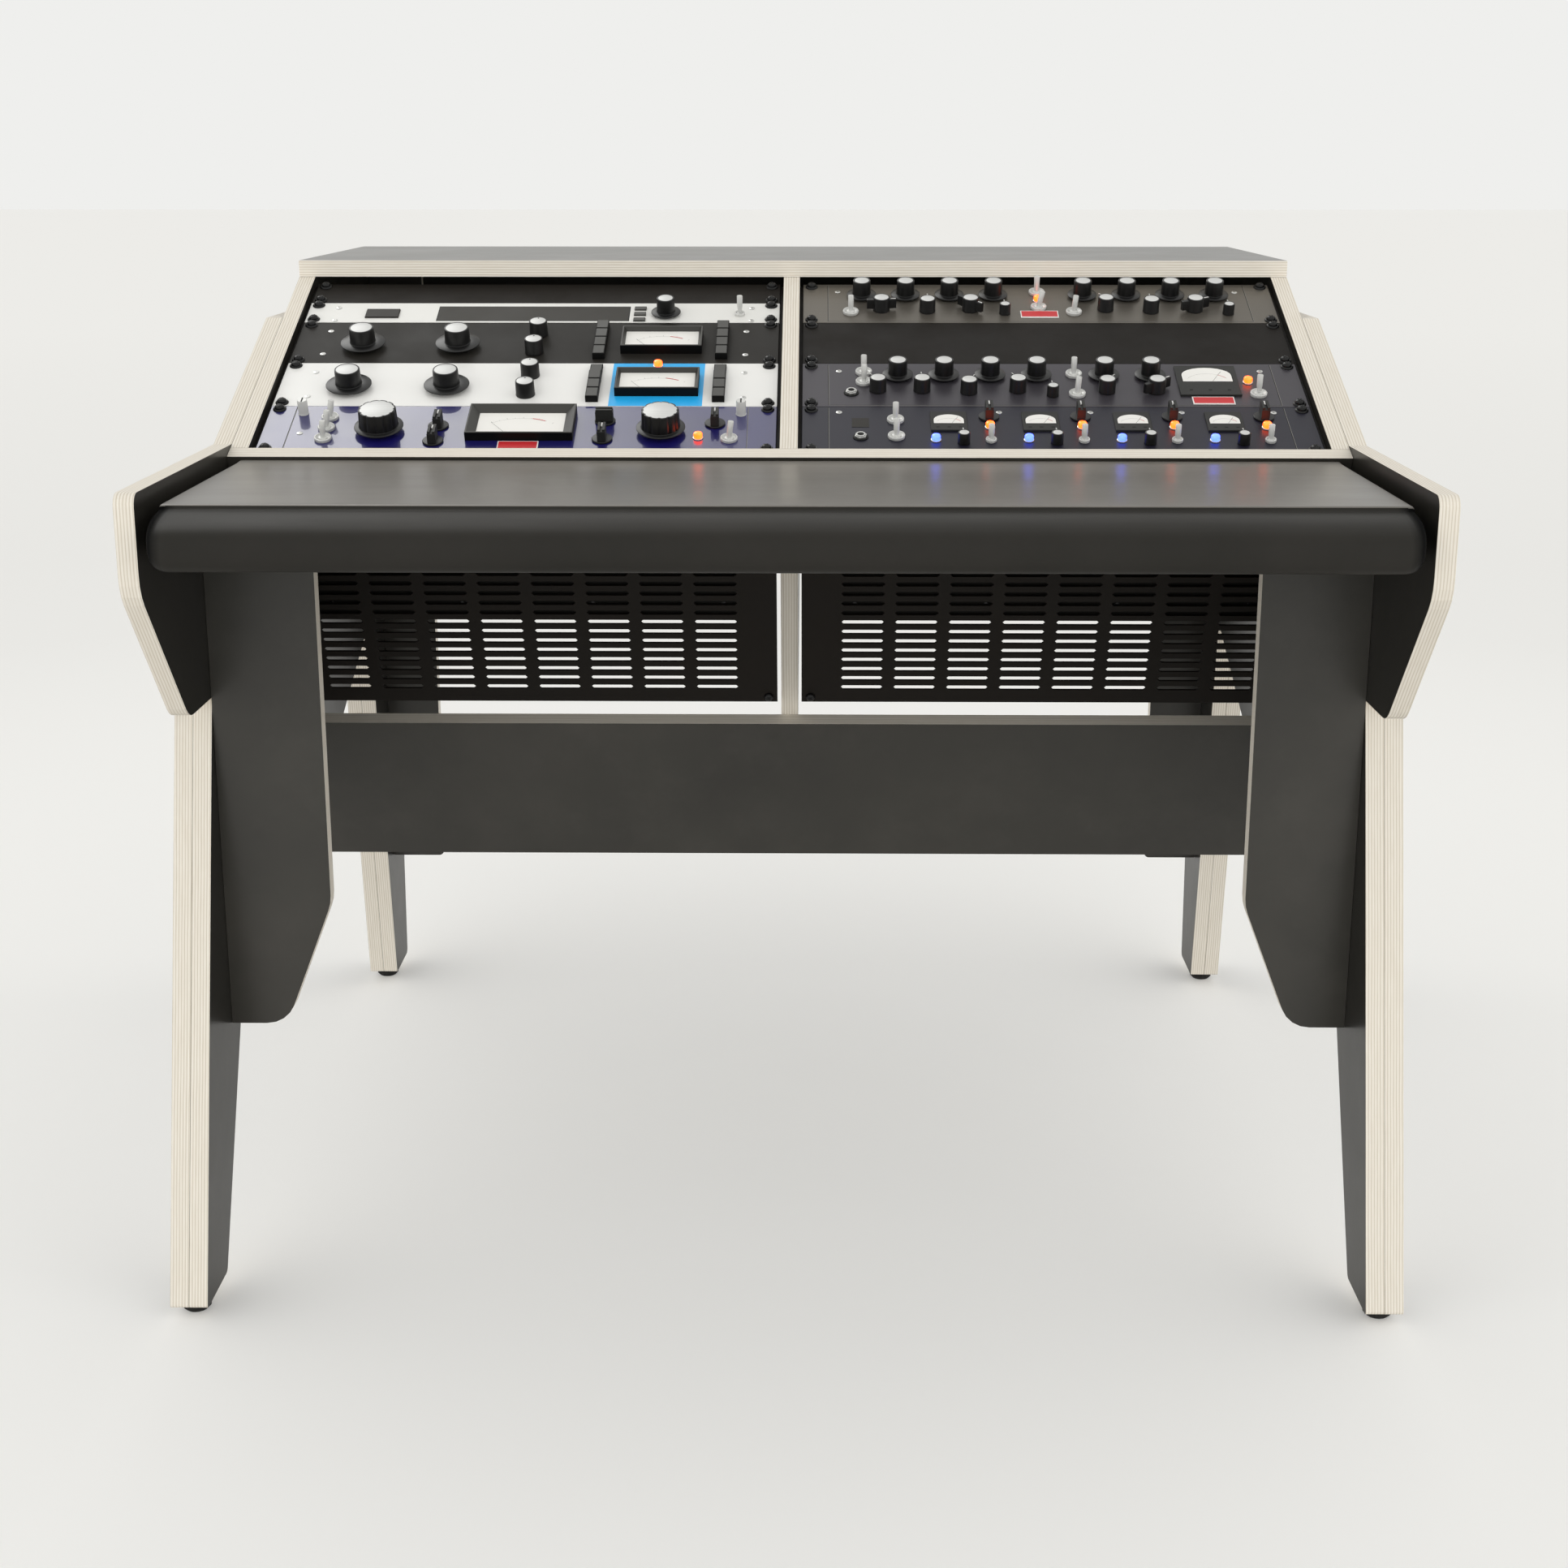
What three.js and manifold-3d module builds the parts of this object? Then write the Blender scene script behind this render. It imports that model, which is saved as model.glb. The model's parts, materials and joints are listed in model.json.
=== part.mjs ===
// Studio desk with two tilted 19 inch rack bays, an upholstered worktop and layered plywood legs.
// Millimetres. X runs across the desk, Y runs away from the user, Z is up from the floor.
import * as THREE from 'three';
import { mergeVertices } from 'three/addons/utils/BufferGeometryUtils.js';
import Module from 'manifold-3d';

const wasm = await Module();
wasm.setup();

// Driving dimensions of the furniture
const BOARD = 16.6; // birch plywood with laminate on both faces
const SEAT_GAP = 0.3; // fitting clearance between pieces that touch
const EDGE_RADIUS = 3; // eased corner of a board's outline
const RACK_UNIT = 44.45;
const RACK_PANEL_WIDTH = 482.6;
const RACK_PANEL_TRIM = 0.8; // a panel is this much lower than its units
const BAY_SIDE_CLEARANCE = 3.6;
const BAY_END_CLEARANCE = 3.8;
const BAY_UNITS = 8;
const RACK_TILT_DEG = 22.15;
const PANEL_RECESS = 6.5; // from the edges of the boards down to the faces of the panels

const PAD_TOP_HEIGHT = 736.5;
const PAD_THICKNESS = 48.5;
const PAD_DEPTH = 332.5;
const PAD_SIDE_CLEARANCE = 17.1;
const PAD_REAR_CLEARANCE = 0.6;
const PAD_FRONT_ROLL = 44; // depth of the rolled front edge
const PAD_FRONT_DROP = 20; // height of the rolled front edge
const PAD_LOWER_RADIUS = 14;
const PAD_END_RADIUS = 10;
const PAD_CROWN = 1.6;
const PAD_BOARD_INSET = 26;
const PAD_BOARD_FRONT_INSET = 118; // out of sight behind the front of the pad

const RAIL_ABOVE_PAD = 2.3;
const RAIL_DEPTH = 104;
const SHELF_DEPTH = 367;
const FRAME_TOP_DROP = 36.3; // from the underside of the shelf down to the top of the side frames
const BOX_DEPTH = 453; // from the rack plane to the lower edges of the rack sides
const FRAME_DEPTH = 400; // from the rack plane to the lower edges of the side frames
const ARM_ABOVE_PAD = 11.1;
const ARM_SETBACK = 28.6; // from the front of the pad to the front of the arms
const ARM_HEIGHT = 210.6;
const ARM_NOSE_HEIGHT = 80.4;
const ARM_SLANT_DEG = 42.8;
const ARM_TOP_RADIUS = 11;
const ARM_NOSE_RADIUS = 40;
const ARM_TIP_RADIUS = 30;
const ARCH_RADIUS = 60;
const ARCH_REAR_RADIUS = 12;

const FRONT_FOOT_SETBACK = 76.8; // from the front of the pad to the front of the leg at its foot
const FRONT_LEG_WIDTH = 74;
const FRONT_LEG_RAKE_DEG = 16;
const FRONT_LEG_REAR_RAKE_DEG = 27;
const REAR_FOOT_SETBACK = 8.5;
const REAR_LEG_WIDTH = 77;
const REAR_LEG_RAKE_DEG = 9.5;
const REAR_LEG_REAR_RAKE_DEG = 3.2;
const LEG_CORNER_RADIUS = 7;

const FOOT_HEIGHT = 12;
const FOOT_RADIUS = 13;
const FOOT_EDGE_RADIUS = 3;
const FOOT_SETBACK = 27.5; // from the front of the leg to the middle of the foot

const FRONT_GUSSET_WIDTH = 97.5;
const FRONT_GUSSET_SETBACK = 224.2; // from the front of the pad
const FRONT_GUSSET_FLOOR_GAP = 227.8;
const FRONT_GUSSET_TAPER_HEIGHT = 117;
const FRONT_GUSSET_TAPER_DEG = 21.5;
const GUSSET_UPPER_RADIUS = 40;
const GUSSET_LOWER_RADIUS = 28;
const REAR_GUSSET_WIDTH = 62;
const REAR_GUSSET_SETBACK = 53; // from the rear of the desk to the gusset's rear face
const REAR_GUSSET_FLOOR_GAP = 161;
const REAR_GUSSET_RADIUS = 6;

const VENT_UNITS = 4;
const VENT_DROP = 108.8; // from the rack plane to the top of the vent panels
const VENT_RECESS = 1.2;
const VENT_THICKNESS = 2.4;
const VENT_COLUMNS = 8;
const VENT_ROWS = 14;
const VENT_SIDE_MARGIN = 38.2;
const VENT_END_MARGIN = 17.4;
const VENT_SLOT_GAP = 9.8; // solid metal between two slots of a row
const VENT_SLOT_HEIGHT = 5;
const MODESTY_GAP = 26.6; // open gap between the vent panels and the modesty panel
const MODESTY_HEIGHT = 166.4;

const STRIP_FLANGE = 17;
const STRIP_DEPTH = 30;
const STRIP_GAUGE = 2;
const STRIP_END_MARGIN = 4;
const DIVIDER_REAR_SETBACK = 60;
const DIVIDER_LAP = 30; // how far the divider reaches down behind the modesty panel
const REAR_RAIL_HEIGHT = 90;

// Driving dimensions of the rack equipment
const FACEPLATE = 3;
const PANEL_EAR = 21.3; // from the end of a panel to its chassis
const CHASSIS_DEPTH = 178;
const CHASSIS_MARGIN = 1.6; // from the edge of a panel to its chassis
const BLANK_LIP_DEPTH = 14;
const BLANK_LIP_GAUGE = 1.5;
const RUNNING_GAP = 0.5; // from a panel to the underside of a knob
const SPINDLE_RADIUS = 3;
const SPINDLE_HEIGHT = 7;
const SPINDLE_CLEARANCE = 0.6;
const KNOB_EDGE = 1;
const KNOB_TAPER_SHARE = 0.92; // radius at the top of a knob against its base
const KNOB_TURN_SEGMENTS = 16;
const SKIRT_TURN_SEGMENTS = 12;
const SMALL_TURN_SEGMENTS = 8;

const LARGE_KNOB = { skirtRadius: 23, skirtHeight: 3.5, capRadius: 12.6, height: 21 };
const WIDE_KNOB = { skirtRadius: 23.2, skirtHeight: 3.5, capRadius: 18.3, height: 23 };
const SKIRTED_KNOB = { skirtRadius: 15.2, skirtHeight: 3, capRadius: 9.3, height: 18.5 };
const PLAIN_KNOB = { skirtRadius: 9, skirtHeight: 2, capRadius: 8.2, height: 15 };
const SMALL_KNOB = { skirtRadius: 5.6, skirtHeight: 1.5, capRadius: 5, height: 12.5 };
const POINTER_KNOB = { baseRadius: 8.6, baseHeight: 2, barLength: 17, barWidth: 6, barTop: 14 };
const WING_KNOB = { barLength: 30, barWidth: 5, barFoot: 3, barTop: 12.5 };
const WING_SLANT_DEG = 28;
const WIDE_METER = { width: 84.5, height: 57, rise: 10, edge: 2.4, bevel: 2.2, drop: 4 };
const LARGE_METER = { width: 112, height: 68, rise: 9, edge: 2, bevel: 9, drop: 5 };
const SQUARE_METER = { width: 57.4, height: 58, rise: 2.2 };
const SMALL_METER = { width: 33.4, height: 35, rise: 2 };

const TOGGLE_BUSH_RADIUS = 7.6;
const SMALL_TOGGLE_BUSH_RADIUS = 4.8;
const TOGGLE_BUSH_HEIGHT = 2.6;
const TOGGLE_BALL_RADIUS = 2.2;
const TOGGLE_TIP_RADIUS = 2.7;
const TOGGLE_NECK_RADIUS = 2;
const TOGGLE_LENGTH = 15;
const TOGGLE_LEAN_DEG = 12;
const KEY_BUTTON = { width: 12, length: 17, rise: 7 };
const SLIM_BUTTON = { width: 12, length: 6.5, rise: 1.6 };
const LAMP_RADIUS = 4.2;
const LAMP_HEIGHT = 4.4;
const JACK_RADIUS = 6;
const JACK_BORE_RADIUS = 3.2;
const JACK_HEIGHT = 2.5;
const POST_RADIUS = 5;
const POST_HEIGHT = 16;
const CUT_OVERRUN = 1;

// Finishes
const LAMINATE = { color: 0x3c3a36, roughness: 0.55, metalness: 0 };
const UPHOLSTERY = { color: 0x44423f, roughness: 0.6, metalness: 0 };
const BLACK_STEEL = { color: 0x1b1a19, roughness: 0.5, metalness: 0.4 };
const RUBBER = { color: 0x161514, roughness: 0.8, metalness: 0 };
const KNOB_BLACK = { color: 0x17171a, roughness: 0.4, metalness: 0 };
const KNOB_BLUE = { color: 0x1d2350, roughness: 0.4, metalness: 0 };
const BRIGHT_METAL = { color: 0xc9c9c6, roughness: 0.3, metalness: 0.9 };

// Sizes that follow from the driving dimensions
const radians = THREE.MathUtils.degToRad;
const tilt = radians(RACK_TILT_DEG);
const layerPitch = BOARD + SEAT_GAP;
const bayWidth = RACK_PANEL_WIDTH + 2 * BAY_SIDE_CLEARANCE;
const bayLength = BAY_UNITS * RACK_UNIT + 2 * BAY_END_CLEARANCE;
const chassisHalf = RACK_PANEL_WIDTH / 2 - PANEL_EAR;
const bayCentreX = BOARD / 2 + bayWidth / 2;
const boxInnerX = BOARD / 2 + bayWidth;
const frameInnerX = boxInnerX + layerPitch;
const doublerInnerX = frameInnerX + layerPitch;

const deskDepth = PAD_DEPTH + PAD_REAR_CLEARANCE + layerPitch * Math.cos(tilt)
  + bayLength * Math.cos(tilt) + SHELF_DEPTH;
const frontY = -deskDepth / 2;
const rearY = deskDepth / 2;
const rackFootY = frontY + PAD_DEPTH + PAD_REAR_CLEARANCE + layerPitch * Math.cos(tilt);
const rackFootZ = PAD_TOP_HEIGHT + RAIL_ABOVE_PAD + layerPitch * Math.sin(tilt);
const shelfFrontY = rearY - SHELF_DEPTH;
const shelfBottomZ = rackFootZ + bayLength * Math.sin(tilt) + SEAT_GAP;
const padBottomZ = PAD_TOP_HEIGHT - PAD_THICKNESS;
const padBoardTopZ = padBottomZ - SEAT_GAP;
const padHalfWidth = frameInnerX - PAD_SIDE_CLEARANCE;
const armTopZ = PAD_TOP_HEIGHT + ARM_ABOVE_PAD;
const armFrontY = frontY + ARM_SETBACK;
const armBottomZ = armTopZ - ARM_HEIGHT;
const modestyDrop = VENT_DROP + VENT_UNITS * RACK_UNIT - RACK_PANEL_TRIM + MODESTY_GAP;

// A point of the side view: along the rack slope from its foot, and inward from the rack plane
function rackPoint(along, inward) {
  return {
    y: rackFootY + along * Math.cos(tilt) + inward * Math.sin(tilt),
    z: rackFootZ + along * Math.sin(tilt) - inward * Math.cos(tilt),
  };
}

// Where two straight lines of the side view meet, each a point and a direction
function meet(a, directionA, b, directionB) {
  const cross = directionA.y * directionB.z - directionA.z * directionB.y;
  const share = ((b.y - a.y) * directionB.z - (b.z - a.z) * directionB.y) / cross;
  return { y: a.y + share * directionA.y, z: a.z + share * directionA.z };
}

// Outline whose corners are rounded by arcs: each corner is [x, y, radius]
const ARC_STEP_DEG = 18;
function roundedOutline(corners) {
  const points = [];
  corners.forEach(([x, y, radius], index) => {
    const before = corners[(index + corners.length - 1) % corners.length];
    const after = corners[(index + 1) % corners.length];
    const corner = new THREE.Vector2(x, y);
    const toBefore = new THREE.Vector2(before[0] - x, before[1] - y);
    const toAfter = new THREE.Vector2(after[0] - x, after[1] - y);
    const limit = Math.min(toBefore.length(), toAfter.length()) / 2;
    toBefore.normalize();
    toAfter.normalize();
    const half = Math.acos(THREE.MathUtils.clamp(toBefore.dot(toAfter), -1, 1)) / 2;
    const tangent = Math.min(radius / Math.tan(half), limit);
    if (tangent <= 0) {
      points.push(corner);
      return;
    }
    const fitted = tangent * Math.tan(half);
    const start = corner.clone().addScaledVector(toBefore, tangent);
    const end = corner.clone().addScaledVector(toAfter, tangent);
    const middle = toBefore.clone().add(toAfter).normalize();
    const centre = corner.clone().addScaledVector(middle, fitted / Math.sin(half));
    const from = start.clone().sub(centre);
    const sweep = Math.PI - 2 * half;
    const turn = Math.sign(from.cross(end.clone().sub(centre)));
    const steps = Math.max(1, Math.ceil(THREE.MathUtils.radToDeg(sweep) / ARC_STEP_DEG));
    for (let step = 0; step <= steps; step += 1) {
      const spoke = from.clone().rotateAround(new THREE.Vector2(), turn * sweep * step / steps);
      points.push(centre.clone().add(spoke));
    }
  });
  return points;
}

function extrude(points, depth) {
  return new THREE.ExtrudeGeometry(new THREE.Shape(points), { depth, bevelEnabled: false });
}

// Turns an outline drawn in X and Y, extruded along Z, into the side view and into the front view
function sideViewBasis() {
  return new THREE.Matrix4().makeBasis(
    new THREE.Vector3(0, 1, 0), new THREE.Vector3(0, 0, 1), new THREE.Vector3(1, 0, 0));
}

function frontViewBasis() {
  return new THREE.Matrix4().makeBasis(
    new THREE.Vector3(1, 0, 0), new THREE.Vector3(0, 0, 1), new THREE.Vector3(0, -1, 0));
}

// Board in the side view, from x to x plus its thickness
function sideBoard(corners, x, thickness = BOARD) {
  const geometry = extrude(roundedOutline(corners), thickness);
  geometry.applyMatrix4(sideViewBasis());
  geometry.translate(x, 0, 0);
  return geometry;
}

// Board in the front view, from y to y plus its thickness
function frontBoard(corners, y, thickness = BOARD) {
  const geometry = extrude(roundedOutline(corners), thickness);
  geometry.applyMatrix4(frontViewBasis());
  geometry.translate(0, y + thickness, 0);
  return geometry;
}

function box(low, high) {
  const size = high.map((value, axis) => value - low[axis]);
  const geometry = new THREE.BoxGeometry(...size);
  geometry.translate(...low.map((value, axis) => value + size[axis] / 2));
  return geometry;
}

// Turned solid about Z from a closed profile of [radius, height] points
function turned(profile, segments) {
  const points = profile.map(([radius, height]) => new THREE.Vector2(radius, height));
  const geometry = new THREE.LatheGeometry(points, segments);
  return geometryOf(solid(geometry.rotateX(Math.PI / 2)));
}

// Solids for cutting and joining
function solid(geometry) {
  const plain = geometry.clone();
  plain.deleteAttribute('normal');
  plain.deleteAttribute('uv');
  const merged = mergeVertices(plain);
  return new wasm.Manifold(new wasm.Mesh({
    numProp: 3,
    vertProperties: new Float32Array(merged.attributes.position.array),
    triVerts: new Uint32Array(merged.index.array),
  }));
}

function geometryOf(manifold) {
  const mesh = manifold.getMesh();
  const geometry = new THREE.BufferGeometry();
  geometry.setAttribute('position', new THREE.BufferAttribute(new Float32Array(mesh.vertProperties), 3));
  geometry.setIndex(new THREE.BufferAttribute(new Uint32Array(mesh.triVerts), 1));
  return geometry;
}

function joined(geometries) {
  return geometries.slice(1).reduce((sum, next) => sum.add(solid(next)), solid(geometries[0]));
}

const desk = new THREE.Group();
desk.name = 'studio_desk';

function addPiece(name, geometry, finish, parent = desk) {
  const mesh = new THREE.Mesh(geometry, new THREE.MeshStandardMaterial(finish));
  mesh.name = name;
  parent.add(mesh);
  return mesh;
}

// Boards that come in pairs are made on the right and mirrored to the left
const SIDES = [{ side: 'left', sign: -1 }, { side: 'right', sign: 1 }];
function addBoardPair(name, makeGeometry, finish = LAMINATE) {
  SIDES.forEach(({ side, sign }) => addPiece(`${name}_${side}`, makeGeometry(sign), finish));
}

// The low X of a side board whose inner face is at innerX
function lowX(sign, innerX) {
  return sign > 0 ? innerX : -innerX - BOARD;
}

// Side view of the legs, shared by the boards that are laminated together
const slope = { y: Math.cos(tilt), z: Math.sin(tilt) };
const frontFoot = { y: frontY + FRONT_FOOT_SETBACK, z: FOOT_HEIGHT };
const frontFootRear = { y: frontFoot.y + FRONT_LEG_WIDTH, z: FOOT_HEIGHT };
const frontRake = { y: Math.sin(radians(FRONT_LEG_RAKE_DEG)), z: Math.cos(radians(FRONT_LEG_RAKE_DEG)) };
const frontRearRake = {
  y: Math.sin(radians(FRONT_LEG_REAR_RAKE_DEG)),
  z: Math.cos(radians(FRONT_LEG_REAR_RAKE_DEG)),
};
const rearFootRear = { y: rearY - REAR_FOOT_SETBACK, z: FOOT_HEIGHT };
const rearFoot = { y: rearFootRear.y - REAR_LEG_WIDTH, z: FOOT_HEIGHT };
const rearRake = { y: -Math.sin(radians(REAR_LEG_RAKE_DEG)), z: Math.cos(radians(REAR_LEG_RAKE_DEG)) };
const rearHeelZ = FOOT_HEIGHT + REAR_FOOT_SETBACK / Math.tan(radians(REAR_LEG_REAR_RAKE_DEG));
const horizontal = { y: 1, z: 0 };

function rackSides() {
  const apex = meet(rearFoot, rearRake, rackPoint(0, BOX_DEPTH), slope);
  const foot = rackPoint(0, 0);
  const top = rackPoint(bayLength, 0);
  const lower = rackPoint(0, BOX_DEPTH);
  addBoardPair('rack_side', (sign) => sideBoard([
    [foot.y, foot.z, 0],
    [lower.y, lower.z, EDGE_RADIUS],
    [apex.y, apex.z, ARCH_REAR_RADIUS],
    [rearFoot.y, rearFoot.z, EDGE_RADIUS],
    [rearFootRear.y, rearFootRear.z, LEG_CORNER_RADIUS],
    [rearY, rearHeelZ, LEG_CORNER_RADIUS],
    [rearY, shelfBottomZ - SEAT_GAP, 0],
    [top.y, shelfBottomZ - SEAT_GAP, 0],
  ], lowX(sign, boxInnerX)));
}

function sideFrames() {
  const armMeetsSlope = meet({ y: 0, z: armTopZ }, horizontal, rackPoint(0, 0), slope);
  const frameTopZ = shelfBottomZ - FRAME_TOP_DROP;
  const crest = meet({ y: 0, z: frameTopZ }, horizontal, rackPoint(0, 0), slope);
  const lower = rackPoint(0, FRAME_DEPTH);
  const rearArch = meet(rearFoot, rearRake, lower, slope);
  const frontArch = meet(frontFootRear, frontRearRake, lower, slope);
  const notch = meet(frontFoot, frontRake, { y: 0, z: armBottomZ }, horizontal);
  const noseZ = armTopZ - ARM_NOSE_HEIGHT;
  const slant = { y: Math.sin(radians(ARM_SLANT_DEG)), z: -Math.cos(radians(ARM_SLANT_DEG)) };
  const tip = meet({ y: armFrontY, z: noseZ }, slant, { y: 0, z: armBottomZ }, horizontal);
  addBoardPair('side_frame', (sign) => sideBoard([
    [armFrontY, armTopZ, ARM_TOP_RADIUS],
    [armFrontY, noseZ, ARM_NOSE_RADIUS],
    [tip.y, tip.z, ARM_TIP_RADIUS],
    [notch.y, notch.z, 0],
    [frontFoot.y, frontFoot.z, EDGE_RADIUS],
    [frontFootRear.y, frontFootRear.z, LEG_CORNER_RADIUS],
    [frontArch.y, frontArch.z, ARCH_RADIUS],
    [rearArch.y, rearArch.z, ARCH_REAR_RADIUS],
    [rearFoot.y, rearFoot.z, EDGE_RADIUS],
    [rearFootRear.y, rearFootRear.z, LEG_CORNER_RADIUS],
    [rearY, rearHeelZ, LEG_CORNER_RADIUS],
    [rearY, frameTopZ, EDGE_RADIUS],
    [crest.y, crest.z, EDGE_RADIUS],
    [armMeetsSlope.y, armMeetsSlope.z, 0],
  ], lowX(sign, frameInnerX)));
}

// The front legs are doubled outside, up to the underside of the arms
function legDoublers() {
  const front = meet(frontFoot, frontRake, { y: 0, z: armBottomZ }, horizontal);
  const archStart = meet(frontFootRear, frontRearRake, rackPoint(0, FRAME_DEPTH), slope);
  const rear = meet(archStart, frontRake, { y: 0, z: armBottomZ }, horizontal);
  addBoardPair('leg_doubler', (sign) => sideBoard([
    [frontFoot.y, frontFoot.z, EDGE_RADIUS],
    [frontFootRear.y, frontFootRear.z, LEG_CORNER_RADIUS],
    [archStart.y, archStart.z, ARCH_RADIUS],
    [rear.y, rear.z, ARM_TIP_RADIUS],
    [front.y, front.z, EDGE_RADIUS],
  ], lowX(sign, doublerInnerX)));
}

function frontGussets() {
  const outerX = frameInnerX - SEAT_GAP;
  const innerX = outerX - FRONT_GUSSET_WIDTH;
  const taper = FRONT_GUSSET_TAPER_HEIGHT * Math.tan(radians(FRONT_GUSSET_TAPER_DEG));
  const topZ = padBoardTopZ - BOARD - SEAT_GAP;
  const taperTopZ = FRONT_GUSSET_FLOOR_GAP + FRONT_GUSSET_TAPER_HEIGHT;
  addBoardPair('front_gusset', (sign) => frontBoard([
    [sign * outerX, FRONT_GUSSET_FLOOR_GAP, 0],
    [sign * (innerX + taper), FRONT_GUSSET_FLOOR_GAP, GUSSET_LOWER_RADIUS],
    [sign * innerX, taperTopZ, GUSSET_UPPER_RADIUS],
    [sign * innerX, topZ, 0],
    [sign * outerX, topZ, 0],
  ], frontY + FRONT_GUSSET_SETBACK));
}

function rearGussets() {
  const outerX = boxInnerX - SEAT_GAP;
  const innerX = outerX - REAR_GUSSET_WIDTH;
  const topZ = shelfBottomZ - SEAT_GAP;
  addBoardPair('rear_gusset', (sign) => frontBoard([
    [sign * outerX, REAR_GUSSET_FLOOR_GAP, 0],
    [sign * innerX, REAR_GUSSET_FLOOR_GAP, REAR_GUSSET_RADIUS],
    [sign * innerX, topZ, 0],
    [sign * outerX, topZ, 0],
  ], rearY - REAR_GUSSET_SETBACK - BOARD));
}

// The shelf with the rail that is glued under its rear, between the rear gussets and behind the divider
function topShelf() {
  const halfWidth = boxInnerX + BOARD;
  const shelf = box(
    [-halfWidth, shelfFrontY, shelfBottomZ],
    [halfWidth, rearY, shelfBottomZ + BOARD]);
  const railHalf = boxInnerX - REAR_GUSSET_WIDTH - 2 * SEAT_GAP;
  const railFrontY = rearY - DIVIDER_REAR_SETBACK + SEAT_GAP;
  const rail = box(
    [-railHalf, railFrontY, shelfBottomZ - REAR_RAIL_HEIGHT],
    [railHalf, railFrontY + BOARD, shelfBottomZ + BOARD / 2]);
  addPiece('top_shelf', geometryOf(joined([shelf, rail])), LAMINATE);
}

// Glides under the doubled legs
function feet() {
  const profile = [
    [0, 0],
    [FOOT_RADIUS - FOOT_EDGE_RADIUS, 0],
    [FOOT_RADIUS, FOOT_EDGE_RADIUS],
    [FOOT_RADIUS, FOOT_HEIGHT - SEAT_GAP],
    [0, FOOT_HEIGHT - SEAT_GAP],
  ];
  const places = [
    { row: 'front', x: doublerInnerX - SEAT_GAP / 2, y: frontFoot.y + FOOT_SETBACK },
    { row: 'rear', x: frameInnerX - SEAT_GAP / 2, y: rearFoot.y + FOOT_SETBACK },
  ];
  places.forEach(({ row, x, y }) => SIDES.forEach(({ side, sign }) => {
    const foot = addPiece(`foot_${row}_${side}`, turned(profile, KNOB_TURN_SEGMENTS), RUBBER);
    foot.position.set(sign * x, y, 0);
  }));
}

// Upholstered worktop: a crowned pad with a rolled front edge and rounded ends
function worktopPad() {
  const ROLL_STEPS = 8;
  const CROWN_STEPS = 5;
  const LOWER_STEPS = 3;
  const flatTopZ = PAD_TOP_HEIGHT - PAD_CROWN;
  const crownDepth = PAD_DEPTH - PAD_FRONT_ROLL;
  const profile = [];
  for (let step = 0; step <= LOWER_STEPS; step += 1) {
    const angle = (Math.PI / 2) * (1 - step / LOWER_STEPS);
    profile.push(new THREE.Vector2(
      frontY + PAD_LOWER_RADIUS * (1 - Math.cos(angle)),
      padBottomZ + PAD_LOWER_RADIUS * (1 - Math.sin(angle))));
  }
  for (let step = 0; step <= ROLL_STEPS; step += 1) {
    const angle = (Math.PI / 2) * (step / ROLL_STEPS);
    profile.push(new THREE.Vector2(
      frontY + PAD_FRONT_ROLL * (1 - Math.cos(angle)),
      flatTopZ - PAD_FRONT_DROP * (1 - Math.sin(angle))));
  }
  for (let step = 1; step <= CROWN_STEPS; step += 1) {
    const share = step / CROWN_STEPS;
    profile.push(new THREE.Vector2(
      frontY + PAD_FRONT_ROLL + crownDepth * share,
      flatTopZ + PAD_CROWN * Math.sin(Math.PI * share)));
  }
  profile.push(new THREE.Vector2(frontY + PAD_DEPTH, padBottomZ));
  const geometry = new THREE.ExtrudeGeometry(new THREE.Shape(profile), {
    depth: 2 * (padHalfWidth - PAD_END_RADIUS),
    bevelEnabled: true,
    bevelThickness: PAD_END_RADIUS,
    bevelSize: PAD_END_RADIUS,
    bevelOffset: -PAD_END_RADIUS,
    bevelSegments: 3,
  });
  geometry.applyMatrix4(sideViewBasis());
  geometry.translate(-padHalfWidth + PAD_END_RADIUS, 0, 0);
  addPiece('worktop_pad', geometry, UPHOLSTERY);
  const boardHalfWidth = padHalfWidth - PAD_BOARD_INSET;
  addPiece('pad_board', box(
    [-boardHalfWidth, frontY + PAD_BOARD_FRONT_INSET, padBoardTopZ - BOARD],
    [boardHalfWidth, frontY + PAD_DEPTH - PAD_BOARD_INSET, padBoardTopZ]), LAMINATE);
}

function centreDivider() {
  const foot = rackPoint(0, 0);
  const top = rackPoint(bayLength, 0);
  const step = rackPoint(0, RAIL_DEPTH);
  const recess = rackPoint(layerPitch, RAIL_DEPTH);
  const lower = rackPoint(layerPitch, modestyDrop + DIVIDER_LAP);
  const backY = rearY - DIVIDER_REAR_SETBACK;
  const rear = meet(lower, slope, { y: backY, z: 0 }, { y: 0, z: 1 });
  addPiece('centre_divider', sideBoard([
    [foot.y, foot.z, 0],
    [step.y, step.z, 0],
    [recess.y, recess.z, 0],
    [lower.y, lower.z, 0],
    [rear.y, rear.z, LEG_CORNER_RADIUS],
    [backY, shelfBottomZ - SEAT_GAP, 0],
    [top.y, shelfBottomZ - SEAT_GAP, 0],
  ], -BOARD / 2), LAMINATE);
}

// Pieces in the tilted frame of the rack: Y runs up the slope and Z points out of the rack plane
const rack = new THREE.Group();
rack.position.set(0, rackFootY, rackFootZ);
rack.rotation.x = tilt;
desk.add(rack);

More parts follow.
